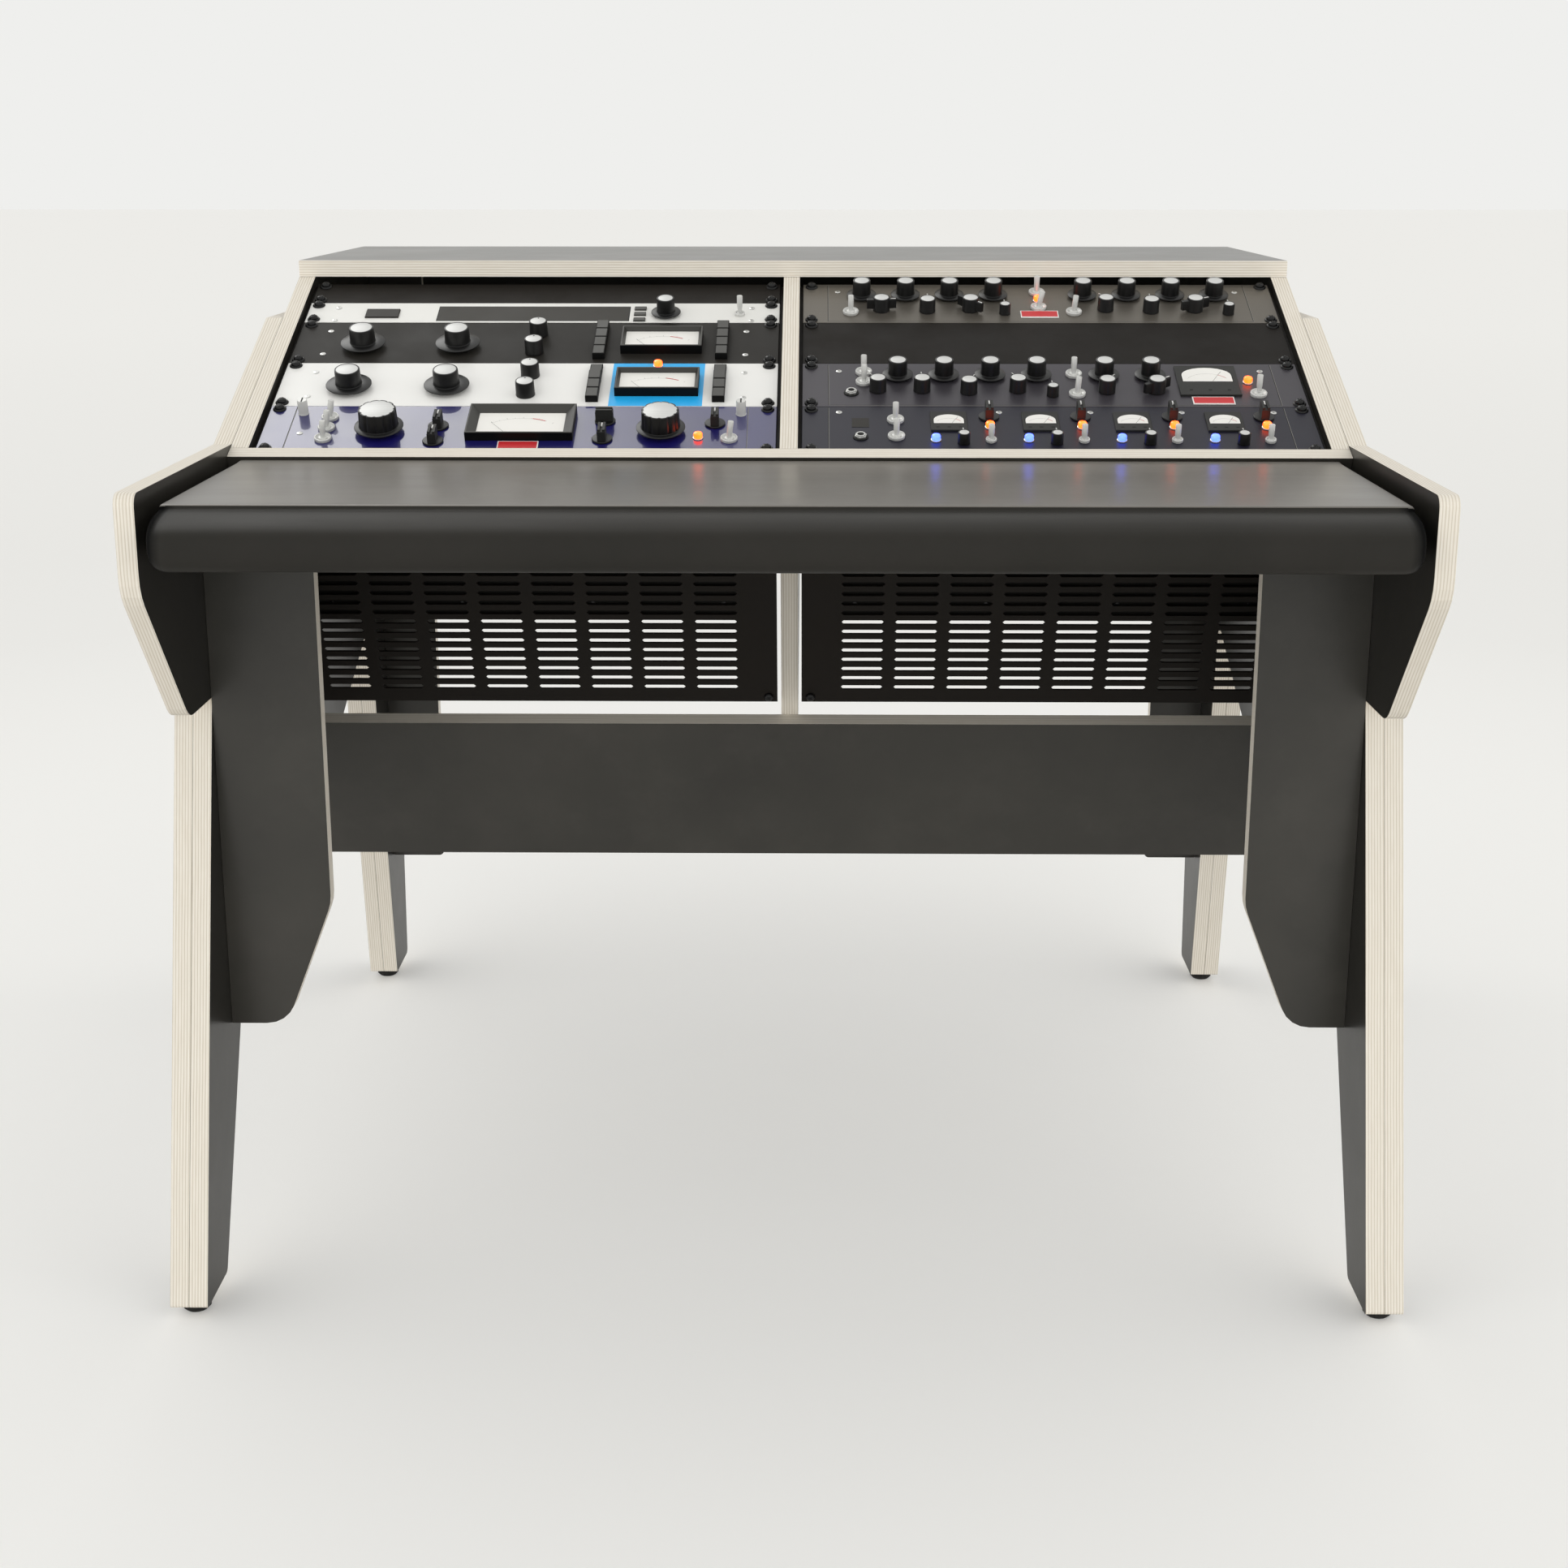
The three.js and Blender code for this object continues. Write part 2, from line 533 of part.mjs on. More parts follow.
function crossBoards() {
  const railHalf = frameInnerX - SEAT_GAP;
  addPiece('front_rail', box(
    [-railHalf, -layerPitch, -RAIL_DEPTH],
    [railHalf, -SEAT_GAP, 0]), LAMINATE, rack);
  const modestyHalf = boxInnerX - SEAT_GAP;
  addPiece('modesty_panel', box(
    [-modestyHalf, 0, -modestyDrop - MODESTY_HEIGHT],
    [modestyHalf, BOARD, -modestyDrop]), LAMINATE, rack);
}

// Slotted steel panels under the rail, square to the rack plane
function ventPanels() {
  const height = VENT_UNITS * RACK_UNIT - RACK_PANEL_TRIM;
  const slotWidth = (RACK_PANEL_WIDTH - 2 * VENT_SIDE_MARGIN - (VENT_COLUMNS - 1) * VENT_SLOT_GAP) / VENT_COLUMNS;
  const rowPitch = (height - 2 * VENT_END_MARGIN) / (VENT_ROWS - 1);
  const halfSlot = slotWidth / 2;
  const halfHigh = VENT_SLOT_HEIGHT / 2;
  SIDES.forEach(({ side, sign }) => {
    const left = sign * bayCentreX - RACK_PANEL_WIDTH / 2;
    const right = left + RACK_PANEL_WIDTH;
    const shape = new THREE.Shape([
      new THREE.Vector2(left, -VENT_DROP - height),
      new THREE.Vector2(right, -VENT_DROP - height),
      new THREE.Vector2(right, -VENT_DROP),
      new THREE.Vector2(left, -VENT_DROP),
    ]);
    for (let row = 0; row < VENT_ROWS; row += 1) {
      const z = -VENT_DROP - VENT_END_MARGIN - row * rowPitch;
      for (let column = 0; column < VENT_COLUMNS; column += 1) {
        const x = left + VENT_SIDE_MARGIN + halfSlot + column * (slotWidth + VENT_SLOT_GAP);
        shape.holes.push(new THREE.Path([
          new THREE.Vector2(x - halfSlot, z),
          new THREE.Vector2(x - halfSlot + halfHigh, z + halfHigh),
          new THREE.Vector2(x + halfSlot - halfHigh, z + halfHigh),
          new THREE.Vector2(x + halfSlot, z),
          new THREE.Vector2(x + halfSlot - halfHigh, z - halfHigh),
          new THREE.Vector2(x - halfSlot + halfHigh, z - halfHigh),
        ]));
      }
    }
    const geometry = new THREE.ExtrudeGeometry(shape, { depth: VENT_THICKNESS, bevelEnabled: false });
    geometry.applyMatrix4(frontViewBasis());
    geometry.translate(0, VENT_RECESS + VENT_THICKNESS, 0);
    addPiece(`vent_panel_${side}`, geometry, BLACK_STEEL, rack);
  });
}

// Steel angles on the board faces that take the ears of the rack panels and of the vent panels
function angleStrip(wallX, inward) {
  return [
    [wallX + inward * SEAT_GAP, 0],
    [wallX + inward * STRIP_FLANGE, 0],
    [wallX + inward * STRIP_FLANGE, -STRIP_GAUGE],
    [wallX + inward * (SEAT_GAP + STRIP_GAUGE), -STRIP_GAUGE],
    [wallX + inward * (SEAT_GAP + STRIP_GAUGE), -STRIP_DEPTH],
    [wallX + inward * SEAT_GAP, -STRIP_DEPTH],
  ];
}

function rackStrips() {
  const seatZ = -PANEL_RECESS - FACEPLATE - SEAT_GAP;
  SIDES.forEach(({ side, sign }) => {
    const walls = [
      { place: 'inner', x: sign * BOARD / 2, inward: sign },
      { place: 'outer', x: sign * boxInnerX, inward: -sign },
    ];
    walls.forEach(({ place, x, inward }) => {
      const corners = angleStrip(x, inward).map(([across, down]) => [across, seatZ + down, 0]);
      const strip = frontBoard(corners, STRIP_END_MARGIN, bayLength - 2 * STRIP_END_MARGIN);
      addPiece(`rack_strip_${side}_${place}`, strip, BLACK_STEEL, rack);
    });
    const seatY = VENT_RECESS + VENT_THICKNESS + SEAT_GAP;
    const height = VENT_UNITS * RACK_UNIT - RACK_PANEL_TRIM;
    const section = angleStrip(sign * boxInnerX, -sign);
    const outline = section.map(([across, back]) => new THREE.Vector2(across, seatY - back));
    const ventStrip = extrude(outline, height);
    ventStrip.translate(0, 0, -VENT_DROP - height);
    addPiece(`vent_strip_${side}`, ventStrip, BLACK_STEEL, rack);
  });
}

// Controls, each standing on a panel whose face is at z = 0, as plain and as moving pieces
const SUNK = SEAT_GAP; // depth that a fixed control is let into its panel

function knobProfile({ skirtRadius, skirtHeight, capRadius, height }, recessed) {
  const topRadius = capRadius * KNOB_TAPER_SHARE;
  const boreRadius = SPINDLE_RADIUS + SPINDLE_CLEARANCE;
  const boreDepth = SPINDLE_HEIGHT + SPINDLE_CLEARANCE - RUNNING_GAP;
  const underside = recessed ? [[0, boreDepth], [boreRadius, boreDepth], [boreRadius, 0]] : [[0, -SUNK]];
  return [
    ...underside,
    [skirtRadius, recessed ? 0 : -SUNK],
    [skirtRadius, skirtHeight],
    [capRadius, skirtHeight],
    [topRadius, height - KNOB_EDGE],
    [topRadius - KNOB_EDGE, height],
    [0, height],
  ];
}

function turnedKnob(size, segments) {
  return {
    fixed: () => turned(knobProfile(size, false), segments),
    moving: () => turned(knobProfile(size, true), segments).translate(0, 0, RUNNING_GAP),
    mount: () => turned([
      [0, -SUNK],
      [SPINDLE_RADIUS, -SUNK],
      [SPINDLE_RADIUS, SPINDLE_HEIGHT],
      [0, SPINDLE_HEIGHT],
    ], SMALL_TURN_SEGMENTS),
  };
}

// A thin disc with an upright bar
function pointerKnob() {
  const { baseRadius, baseHeight, barLength, barWidth, barTop } = POINTER_KNOB;
  const base = turned([
    [0, -SUNK],
    [baseRadius, -SUNK],
    [baseRadius, baseHeight],
    [0, baseHeight],
  ], SMALL_TURN_SEGMENTS);
  const bar = box([-barWidth / 2, -barLength / 2, 0], [barWidth / 2, barLength / 2, barTop]);
  return geometryOf(joined([base, bar]));
}

// A plain knob with a wing to each side
function wingKnob(turnDeg) {
  const { barLength, barWidth, barFoot, barTop } = WING_KNOB;
  const wings = box([-barLength / 2, -barWidth / 2, barFoot], [barLength / 2, barWidth / 2, barTop]);
  const knob = turned(knobProfile(PLAIN_KNOB, false), SMALL_TURN_SEGMENTS);
  return geometryOf(joined([knob, wings.rotateZ(radians(turnDeg))]));
}

// Lever on a ball whose centre is the origin, leaning up the panel
function toggleLever() {
  const shoulder = TOGGLE_BALL_RADIUS * Math.SQRT1_2;
  return turned([
    [0, -TOGGLE_BALL_RADIUS],
    [shoulder, -shoulder],
    [TOGGLE_BALL_RADIUS, 0],
    [TOGGLE_NECK_RADIUS, TOGGLE_BALL_RADIUS],
    [TOGGLE_TIP_RADIUS, TOGGLE_LENGTH - TOGGLE_TIP_RADIUS],
    [TOGGLE_TIP_RADIUS / 2, TOGGLE_LENGTH],
    [0, TOGGLE_LENGTH],
  ], SMALL_TURN_SEGMENTS).rotateX(-radians(TOGGLE_LEAN_DEG));
}

function toggleBush(radius) {
  return turned([
    [0, -SUNK],
    [radius, -SUNK],
    [radius, TOGGLE_BUSH_HEIGHT],
    [0, TOGGLE_BUSH_HEIGHT],
  ], SMALL_TURN_SEGMENTS);
}

function fixedToggle(bushRadius) {
  const lever = turned([
    [0, 0],
    [TOGGLE_NECK_RADIUS, 0],
    [TOGGLE_TIP_RADIUS, TOGGLE_LENGTH],
    [0, TOGGLE_LENGTH],
  ], 6).rotateX(-radians(TOGGLE_LEAN_DEG));
  return geometryOf(joined([toggleBush(bushRadius), lever.translate(0, 0, TOGGLE_BALL_RADIUS)]));
}

function plate({ width, height, rise }) {
  return box([-width / 2, -height / 2, -SUNK], [width / 2, height / 2, rise]);
}

// A raised frame that slopes down to the glass inside
function meterFrame(meter) {
  const { width, height, edge, bevel, drop, rise } = meter;
  const halfWidth = width / 2 - edge - bevel;
  const halfHeight = height / 2 - edge - bevel;
  const pocket = new THREE.ExtrudeGeometry(new THREE.Shape([
    new THREE.Vector2(-halfWidth, -halfHeight),
    new THREE.Vector2(halfWidth, -halfHeight),
    new THREE.Vector2(halfWidth, halfHeight),
    new THREE.Vector2(-halfWidth, halfHeight),
  ]), { depth: CUT_OVERRUN, bevelEnabled: true, bevelThickness: drop, bevelSize: bevel, bevelSegments: 1 });
  return geometryOf(solid(plate(meter)).subtract(solid(pocket.translate(0, 0, rise))));
}

function stud(radius, shoulderHeight, height) {
  return turned([
    [0, -SUNK],
    [radius, -SUNK],
    [radius, shoulderHeight],
    [radius / 2, height],
    [0, height],
  ], SMALL_TURN_SEGMENTS);
}

function jack() {
  return turned([
    [JACK_BORE_RADIUS, -SUNK],
    [JACK_RADIUS, -SUNK],
    [JACK_RADIUS, JACK_HEIGHT],
    [JACK_BORE_RADIUS, JACK_HEIGHT],
    [JACK_BORE_RADIUS, -SUNK],
  ], SMALL_TURN_SEGMENTS);
}

function button({ width, length, rise }) {
  return box([-width / 2, -length / 2, -SUNK], [width / 2, length / 2, rise]);
}

const CONTROLS = {
  large: turnedKnob(LARGE_KNOB, KNOB_TURN_SEGMENTS),
  wide: turnedKnob(WIDE_KNOB, KNOB_TURN_SEGMENTS),
  skirted: turnedKnob(SKIRTED_KNOB, SKIRT_TURN_SEGMENTS),
  plain: turnedKnob(PLAIN_KNOB, SMALL_TURN_SEGMENTS),
  small: turnedKnob(SMALL_KNOB, SMALL_TURN_SEGMENTS),
  pointer: { fixed: pointerKnob },
  crossPointer: { fixed: () => pointerKnob().rotateZ(Math.PI / 2) },
  levelWing: { fixed: () => wingKnob(0) },
  slantedWing: { fixed: () => wingKnob(WING_SLANT_DEG) },
  toggle: {
    fixed: () => fixedToggle(TOGGLE_BUSH_RADIUS),
    moving: toggleLever,
    mount: () => toggleBush(TOGGLE_BUSH_RADIUS),
    pivotHeight: TOGGLE_BUSH_HEIGHT + RUNNING_GAP + TOGGLE_BALL_RADIUS,
  },
  smallToggle: {
    fixed: () => fixedToggle(SMALL_TOGGLE_BUSH_RADIUS),
    moving: toggleLever,
    mount: () => toggleBush(SMALL_TOGGLE_BUSH_RADIUS),
    pivotHeight: TOGGLE_BUSH_HEIGHT + RUNNING_GAP + TOGGLE_BALL_RADIUS,
  },
  key: { fixed: () => button(KEY_BUTTON) },
  slimButton: { fixed: () => button(SLIM_BUTTON) },
  wideMeter: { fixed: () => meterFrame(WIDE_METER) },
  largeMeter: { fixed: () => meterFrame(LARGE_METER) },
  squareMeter: { fixed: () => plate(SQUARE_METER) },
  smallMeter: { fixed: () => plate(SMALL_METER) },
  lamp: { fixed: () => stud(LAMP_RADIUS, LAMP_HEIGHT / 2, LAMP_HEIGHT) },
  post: { fixed: () => stud(POST_RADIUS, POST_HEIGHT - KNOB_EDGE, POST_HEIGHT) },
  jack: { fixed: jack },
};

// Rows of like controls: places are shares of the panel's width and height from its lower left corner
function rowShares(firstShare, stepShare, count, heightShare) {
  return Array.from({ length: count }, (_, index) => [firstShare + index * stepShare, heightShare]);
}

const CHANNEL_STEP_SHARE = 0.179;
const KEY_HEIGHT_SHARES = [0.21, 0.42, 0.63, 0.84];
const COMPRESSOR_LAYOUT = [
  { kind: 'large', movingShares: rowShares(0.142, 0.196, 2, 0.4), title: 'knob', knobFinish: KNOB_BLACK },
  { kind: 'plain', fixedShares: [[0.5, 0.7], [0.498, 0.26]] },
  { kind: 'key', fixedShares: [0.63, 0.882].flatMap((across) => KEY_HEIGHT_SHARES.map((up) => [across, up])) },
  { kind: 'wideMeter', fixedShares: [[0.756, 0.57]] },
];

const UNITS = [
  { name: 'blank_panel_1u', bay: 'left', units: 1, finish: BLACK_STEEL, blank: true, rows: [] },
  {
    name: 'monitor_controller',
    bay: 'left',
    units: 1,
    finish: { color: 0xdedcd6, roughness: 0.4, metalness: 0.1 },
    rows: [
      { kind: 'slimButton', fixedShares: [[0.705, 0.2], [0.705, 0.46], [0.705, 0.72]] },
      { kind: 'skirted', movingShares: [[0.76, 0.42]], title: 'knob', knobFinish: KNOB_BLACK },
      { kind: 'smallToggle', movingShares: [[0.916, 0.4]], title: 'toggle', knobFinish: BRIGHT_METAL },
    ],
  },
  {
    name: 'compressor_black',
    bay: 'left',
    units: 2,
    finish: { color: 0x222223, roughness: 0.45, metalness: 0.2 },
    rows: COMPRESSOR_LAYOUT,
  },
  {
    name: 'compressor_silver',
    bay: 'left',
    units: 2,
    finish: { color: 0xc9c8c4, roughness: 0.35, metalness: 0.5 },
    rows: [...COMPRESSOR_LAYOUT, { kind: 'lamp', fixedShares: [[0.756, 0.94]] }],
  },
  {
    name: 'limiter_blue',
    bay: 'left',
    units: 2,
    finish: { color: 0x2b3a86, roughness: 0.3, metalness: 0.2 },
    rows: [
      { kind: 'wide', movingShares: [[0.228, 0.46], [0.776, 0.44]], title: 'knob', knobFinish: KNOB_BLUE },
      { kind: 'pointer', fixedShares: [[0.341, 0.55], [0.338, 0.22], [0.664, 0.27], [0.88, 0.61]] },
      { kind: 'crossPointer', fixedShares: [[0.665, 0.66]] },
      { kind: 'toggle', fixedShares: [[0.123, 0.77], [0.123, 0.53], [0.123, 0.3], [0.909, 0.29]] },
      { kind: 'largeMeter', fixedShares: [[0.497, 0.57]] },
      { kind: 'post', fixedShares: [[0.069, 0.83], [0.93, 0.83]] },
      { kind: 'lamp', fixedShares: [[0.849, 0.31]] },
    ],
  },
  {
    name: 'equaliser',
    bay: 'right',
    units: 2,
    finish: { color: 0x8d8170, roughness: 0.4, metalness: 0.5 },
    rows: [
      {
        kind: 'skirted',
        movingShares: [...rowShares(0.125, 0.0935, 4, 0.68), ...rowShares(0.596, 0.0935, 4, 0.68)],
        title: 'knob',
        knobFinish: KNOB_BLACK,
      },
      { kind: 'levelWing', fixedShares: [[0.166, 0.33], [0.828, 0.33]] },
      { kind: 'slantedWing', fixedShares: [[0.354, 0.33]] },
      { kind: 'plain', fixedShares: [[0.263, 0.3], [0.64, 0.34], [0.735, 0.3]] },
      { kind: 'small', fixedShares: [[0.426, 0.24], [0.897, 0.24]] },
      { kind: 'toggle', fixedShares: [[0.1, 0.26], [0.499, 0.37], [0.572, 0.25], [0.499, 0.79]] },
      { kind: 'lamp', fixedShares: [[0.5, 0.57]] },
    ],
  },
  { name: 'blank_panel_2u', bay: 'right', units: 2, finish: BLACK_STEEL, blank: true, rows: [] },
  {
    name: 'channel_strip',
    bay: 'right',
    units: 2,
    finish: { color: 0x5b5a66, roughness: 0.4, metalness: 0.5 },
    rows: [
      {
        kind: 'skirted',
        movingShares: [...rowShares(0.192, 0.093, 4, 0.695), ...rowShares(0.607, 0.093, 2, 0.695)],
        title: 'knob',
        knobFinish: KNOB_BLACK,
      },
      { kind: 'plain', fixedShares: [[0.151, 0.37], [0.239, 0.37], [0.332, 0.33], [0.43, 0.37], [0.607, 0.35]] },
      { kind: 'slantedWing', fixedShares: [[0.706, 0.35]] },
      { kind: 'small', fixedShares: [[0.498, 0.26]] },
      { kind: 'toggle', fixedShares: [[0.124, 0.78], [0.124, 0.55], [0.547, 0.735], [0.547, 0.275]] },
      { kind: 'toggle', movingShares: [[0.907, 0.28]], title: 'toggle', knobFinish: BRIGHT_METAL },
      { kind: 'jack', fixedShares: [[0.098, 0.31]] },
      { kind: 'squareMeter', fixedShares: [[0.8115, 0.6]] },
      { kind: 'lamp', fixedShares: [[0.893, 0.58]] },
    ],
  },
  {
    name: 'quad_dynamics',
    bay: 'right',
    units: 2,
    finish: { color: 0x26304a, roughness: 0.35, metalness: 0.3 },
    rows: [
      { kind: 'smallMeter', fixedShares: rowShares(0.287, CHANNEL_STEP_SHARE, 4, 0.66) },
      { kind: 'lamp', fixedShares: rowShares(0.26, CHANNEL_STEP_SHARE, 4, 0.27) },
      { kind: 'lamp', fixedShares: rowShares(0.366, CHANNEL_STEP_SHARE, 4, 0.55) },
      { kind: 'small', fixedShares: rowShares(0.312, CHANNEL_STEP_SHARE, 4, 0.21) },
      { kind: 'pointer', fixedShares: rowShares(0.364, CHANNEL_STEP_SHARE, 4, 0.77) },
      { kind: 'smallToggle', fixedShares: rowShares(0.365, CHANNEL_STEP_SHARE, 4, 0.25) },
      { kind: 'toggle', fixedShares: [[0.183, 0.7], [0.183, 0.35]] },
      { kind: 'jack', fixedShares: [[0.114, 0.33]] },
    ],
  },
];

function chassis(height) {
  return box(
    [-chassisHalf, CHASSIS_MARGIN, -FACEPLATE - CHASSIS_DEPTH],
    [chassisHalf, height - CHASSIS_MARGIN, -FACEPLATE / 2]);
}

// A blanking panel has only its folded upper and lower lips
function blankLips(height) {
  const lip = (y) => box(
    [-chassisHalf, y, -FACEPLATE - BLANK_LIP_DEPTH],
    [chassisHalf, y + BLANK_LIP_GAUGE, -FACEPLATE / 2]);
  return [lip(CHASSIS_MARGIN), lip(height - CHASSIS_MARGIN - BLANK_LIP_GAUGE)];
}

function rackUnits() {
  const used = { left: 0, right: 0 };
  UNITS.forEach(({ name, bay, units, finish, blank, rows }) => {
    const sign = bay === 'left' ? -1 : 1;
    const height = units * RACK_UNIT - RACK_PANEL_TRIM;
    used[bay] += units;
    const holder = new THREE.Group();
    holder.position.set(
      sign * bayCentreX,
      BAY_END_CLEARANCE + (BAY_UNITS - used[bay]) * RACK_UNIT + RACK_PANEL_TRIM / 2,
      -PANEL_RECESS);
    rack.add(holder);
    const fused = [
      box([-RACK_PANEL_WIDTH / 2, 0, -FACEPLATE], [RACK_PANEL_WIDTH / 2, height, 0]),
      ...(blank ? blankLips(height) : [chassis(height)]),
    ];
    rows.forEach(({ kind, fixedShares = [], movingShares = [], title, knobFinish }) => {
      const control = CONTROLS[kind];
      const place = ([xShare, yShare]) => [(xShare - 0.5) * RACK_PANEL_WIDTH, yShare * height];
      fixedShares.map(place).forEach(([x, y]) => fused.push(control.fixed().translate(x, y, 0)));
      movingShares.map(place).forEach(([x, y], index) => {
        fused.push(control.mount().translate(x, y, 0));
        const number = movingShares.length > 1 ? `_${index + 1}` : '';
        const mover = addPiece(`${name}_${title}${number}`, control.moving(), knobFinish, holder);
        mover.position.set(x, y, control.pivotHeight ?? 0);
      });
    });
    addPiece(name, geometryOf(joined(fused)), finish, holder);
  });
}

rackSides();
sideFrames();
legDoublers();
frontGussets();
rearGussets();
topShelf();
centreDivider();
crossBoards();
worktopPad();
ventPanels();
rackStrips();
rackUnits();
feet();

export default desk;
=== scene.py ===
"""Looks of the studio desk: plywood boards, padded worktop and two bays of rack equipment. Metres, Z up."""
import json
import math

import bmesh
import bpy
from mathutils import Matrix, Vector


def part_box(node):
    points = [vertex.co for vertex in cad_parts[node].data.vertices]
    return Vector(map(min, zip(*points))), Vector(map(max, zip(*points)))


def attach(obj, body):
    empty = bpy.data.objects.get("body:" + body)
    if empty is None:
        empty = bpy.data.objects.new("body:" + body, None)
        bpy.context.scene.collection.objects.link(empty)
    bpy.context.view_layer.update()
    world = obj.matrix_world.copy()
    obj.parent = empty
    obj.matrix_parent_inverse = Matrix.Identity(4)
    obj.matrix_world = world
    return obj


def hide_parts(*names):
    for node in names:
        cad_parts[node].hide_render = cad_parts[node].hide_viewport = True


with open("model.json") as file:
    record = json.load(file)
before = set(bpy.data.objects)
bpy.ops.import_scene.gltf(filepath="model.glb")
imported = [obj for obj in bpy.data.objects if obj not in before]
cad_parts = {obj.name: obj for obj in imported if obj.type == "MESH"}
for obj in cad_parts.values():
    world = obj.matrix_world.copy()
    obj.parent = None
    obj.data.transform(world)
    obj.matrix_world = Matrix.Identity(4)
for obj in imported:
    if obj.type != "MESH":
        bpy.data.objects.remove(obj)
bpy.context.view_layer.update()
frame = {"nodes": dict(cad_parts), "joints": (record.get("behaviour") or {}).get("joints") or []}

NODES = frame["nodes"]
MM = 0.001

# The rack, in millimetres, as the solids have it
RACK_UNIT = 44.45
PANEL_WIDTH = 482.6
PANEL_TRIM = 0.8
PANEL_RECESS = 6.5
FACEPLATE = 3.0
CHASSIS_WIDTH = 440.0
CHASSIS_DEPTH = 178.0
CHASSIS_MARGIN = 1.6
BAY_UNITS = 8
BAY_CLEARANCE = 3.8
BAY_CENTRE_X = 253.2
RACK_TILT = math.radians(22.15)
RACK_FOOT = (0.0, -177.32, 745.17)
EAR_HOLE_INSET = 8.75
EAR_HOLES_ACROSS = (EAR_HOLE_INSET, PANEL_WIDTH - EAR_HOLE_INSET)
EAR_HOLE_EDGE = 5.95

RACK = (
    Matrix.Translation([value * MM for value in RACK_FOOT])
    @ Matrix.Rotation(RACK_TILT, 4, "X")
    @ Matrix.Scale(MM, 4)
)
SLOPE = Vector((0.0, math.cos(RACK_TILT), math.sin(RACK_TILT)))


# Materials

def rgb(code):
    """Linear colour of a six digit screen colour."""
    channels = [int(code[i:i + 2], 16) / 255 for i in (0, 2, 4)]
    return [c / 12.92 if c <= 0.04045 else ((c + 0.055) / 1.055) ** 2.4 for c in channels] + [1.0]


def grey(value):
    return [value] * 3 + [1.0]


def darker(color, share):
    return [c * share for c in color[:3]] + [1.0]


class Shader:
    """Adds and links the nodes of one material."""

    def __init__(self, name, **sockets):
        self.material = bpy.data.materials.new(name)
        self.material.use_nodes = True
        self.tree = self.material.node_tree
        self.bsdf = self.tree.nodes["Principled BSDF"]
        self.sockets(self.bsdf, sockets)

    @classmethod
    def on(cls, tree):
        """The same tools for the nodes of a world."""
        shader = cls.__new__(cls)
        shader.tree = tree
        return shader

    def sockets(self, node, values):
        for key, value in values.items():
            self.put(node, key.replace("_", " ") if isinstance(key, str) else key, value)

    def put(self, node, key, value):
        socket = node.inputs[key]
        if isinstance(value, bpy.types.NodeSocket):
            self.tree.links.new(value, socket)
        else:
            socket.default_value = value

    def add(self, kind, values=None, **settings):
        node = self.tree.nodes.new("ShaderNode" + kind)
        for key, value in settings.items():
            setattr(node, key, value)
        for key, value in (values or {}).items():
            self.put(node, key, value)
        return node

    def coords(self, scale=(1, 1, 1)):
        """Object coordinates, stretched by scale."""
        place = self.add("TexCoord").outputs["Object"]
        return self.add("Mapping", {"Vector": place, "Scale": scale}).outputs[0]

    def math(self, operation, *values):
        return self.add("Math", dict(enumerate(values)), operation=operation).outputs[0]

    def dot(self, a, b):
        return self.add("VectorMath", {0: a, 1: b}, operation="DOT_PRODUCT").outputs["Value"]

    def noise(self, vector, scale, detail=3.0, rough=0.5):
        values = {"Vector": vector, "Scale": scale, "Detail": detail, "Roughness": rough}
        return self.add("TexNoise", values).outputs["Fac"]

    def ramp(self, fac, stops):
        """Colours by fac; stops are (position, screen colour)."""
        node = self.add("ValToRGB", {"Fac": fac})
        elements = node.color_ramp.elements
        while len(elements) < len(stops):
            elements.new(0.5)
        for element, (position, code) in zip(elements, stops):
            element.position = position
            element.color = rgb(code)
        return node.outputs[0]

    def span(self, fac, low, high, start=0.3, end=0.7):
        """Maps fac from start to end onto low to high."""
        values = {"Value": fac, "From Min": start, "From Max": end, "To Min": low, "To Max": high}
        return self.add("MapRange", values).outputs[0]

    def mix(self, fac, a, b, blend="MIX"):
        node = self.add("Mix", data_type="RGBA", blend_type=blend)
        self.put(node, 0, fac)
        self.put(node, 6, a)
        self.put(node, 7, b)
        return node.outputs[2]

    def bump(self, height, strength, distance):
        node = self.add("Bump", {"Height": height, "Strength": strength, "Distance": distance})
        self.put(self.bsdf, "Normal", node.outputs[0])

    def base(self, color):
        self.put(self.bsdf, "Base Color", color)

    def rough(self, value):
        self.put(self.bsdf, "Roughness", value)


# Plywood, in metres
PLY_PITCH = 0.00262
PLY_WOBBLE = 0.0003
PLIES = ((0.0, "c6bcac"), (0.2, "e2dcd1"), (0.5, "e8e3da"), (0.8, "e0d9cd"), (1.0, "c6bcac"))
FIBRE = "cdc2ad"
# Cells of the fibre's noise per metre along the plies, and how many more across them
FIBRE_ALONG, FIBRE_ACROSS = 40, 900
EDGE_ROUGHNESS = 0.62
LAMINATE = ((0.3, "2b2925"), (0.52, "33312c"), (0.72, "3e3b36"))
LAMINATE_RUBBED = "484540"
# The denoiser takes a roughness under 0.274 for a mirror, and its border would show as specks
LAMINATE_ROUGHNESS = (0.285, 0.335)
FACE_COSINE = 0.8


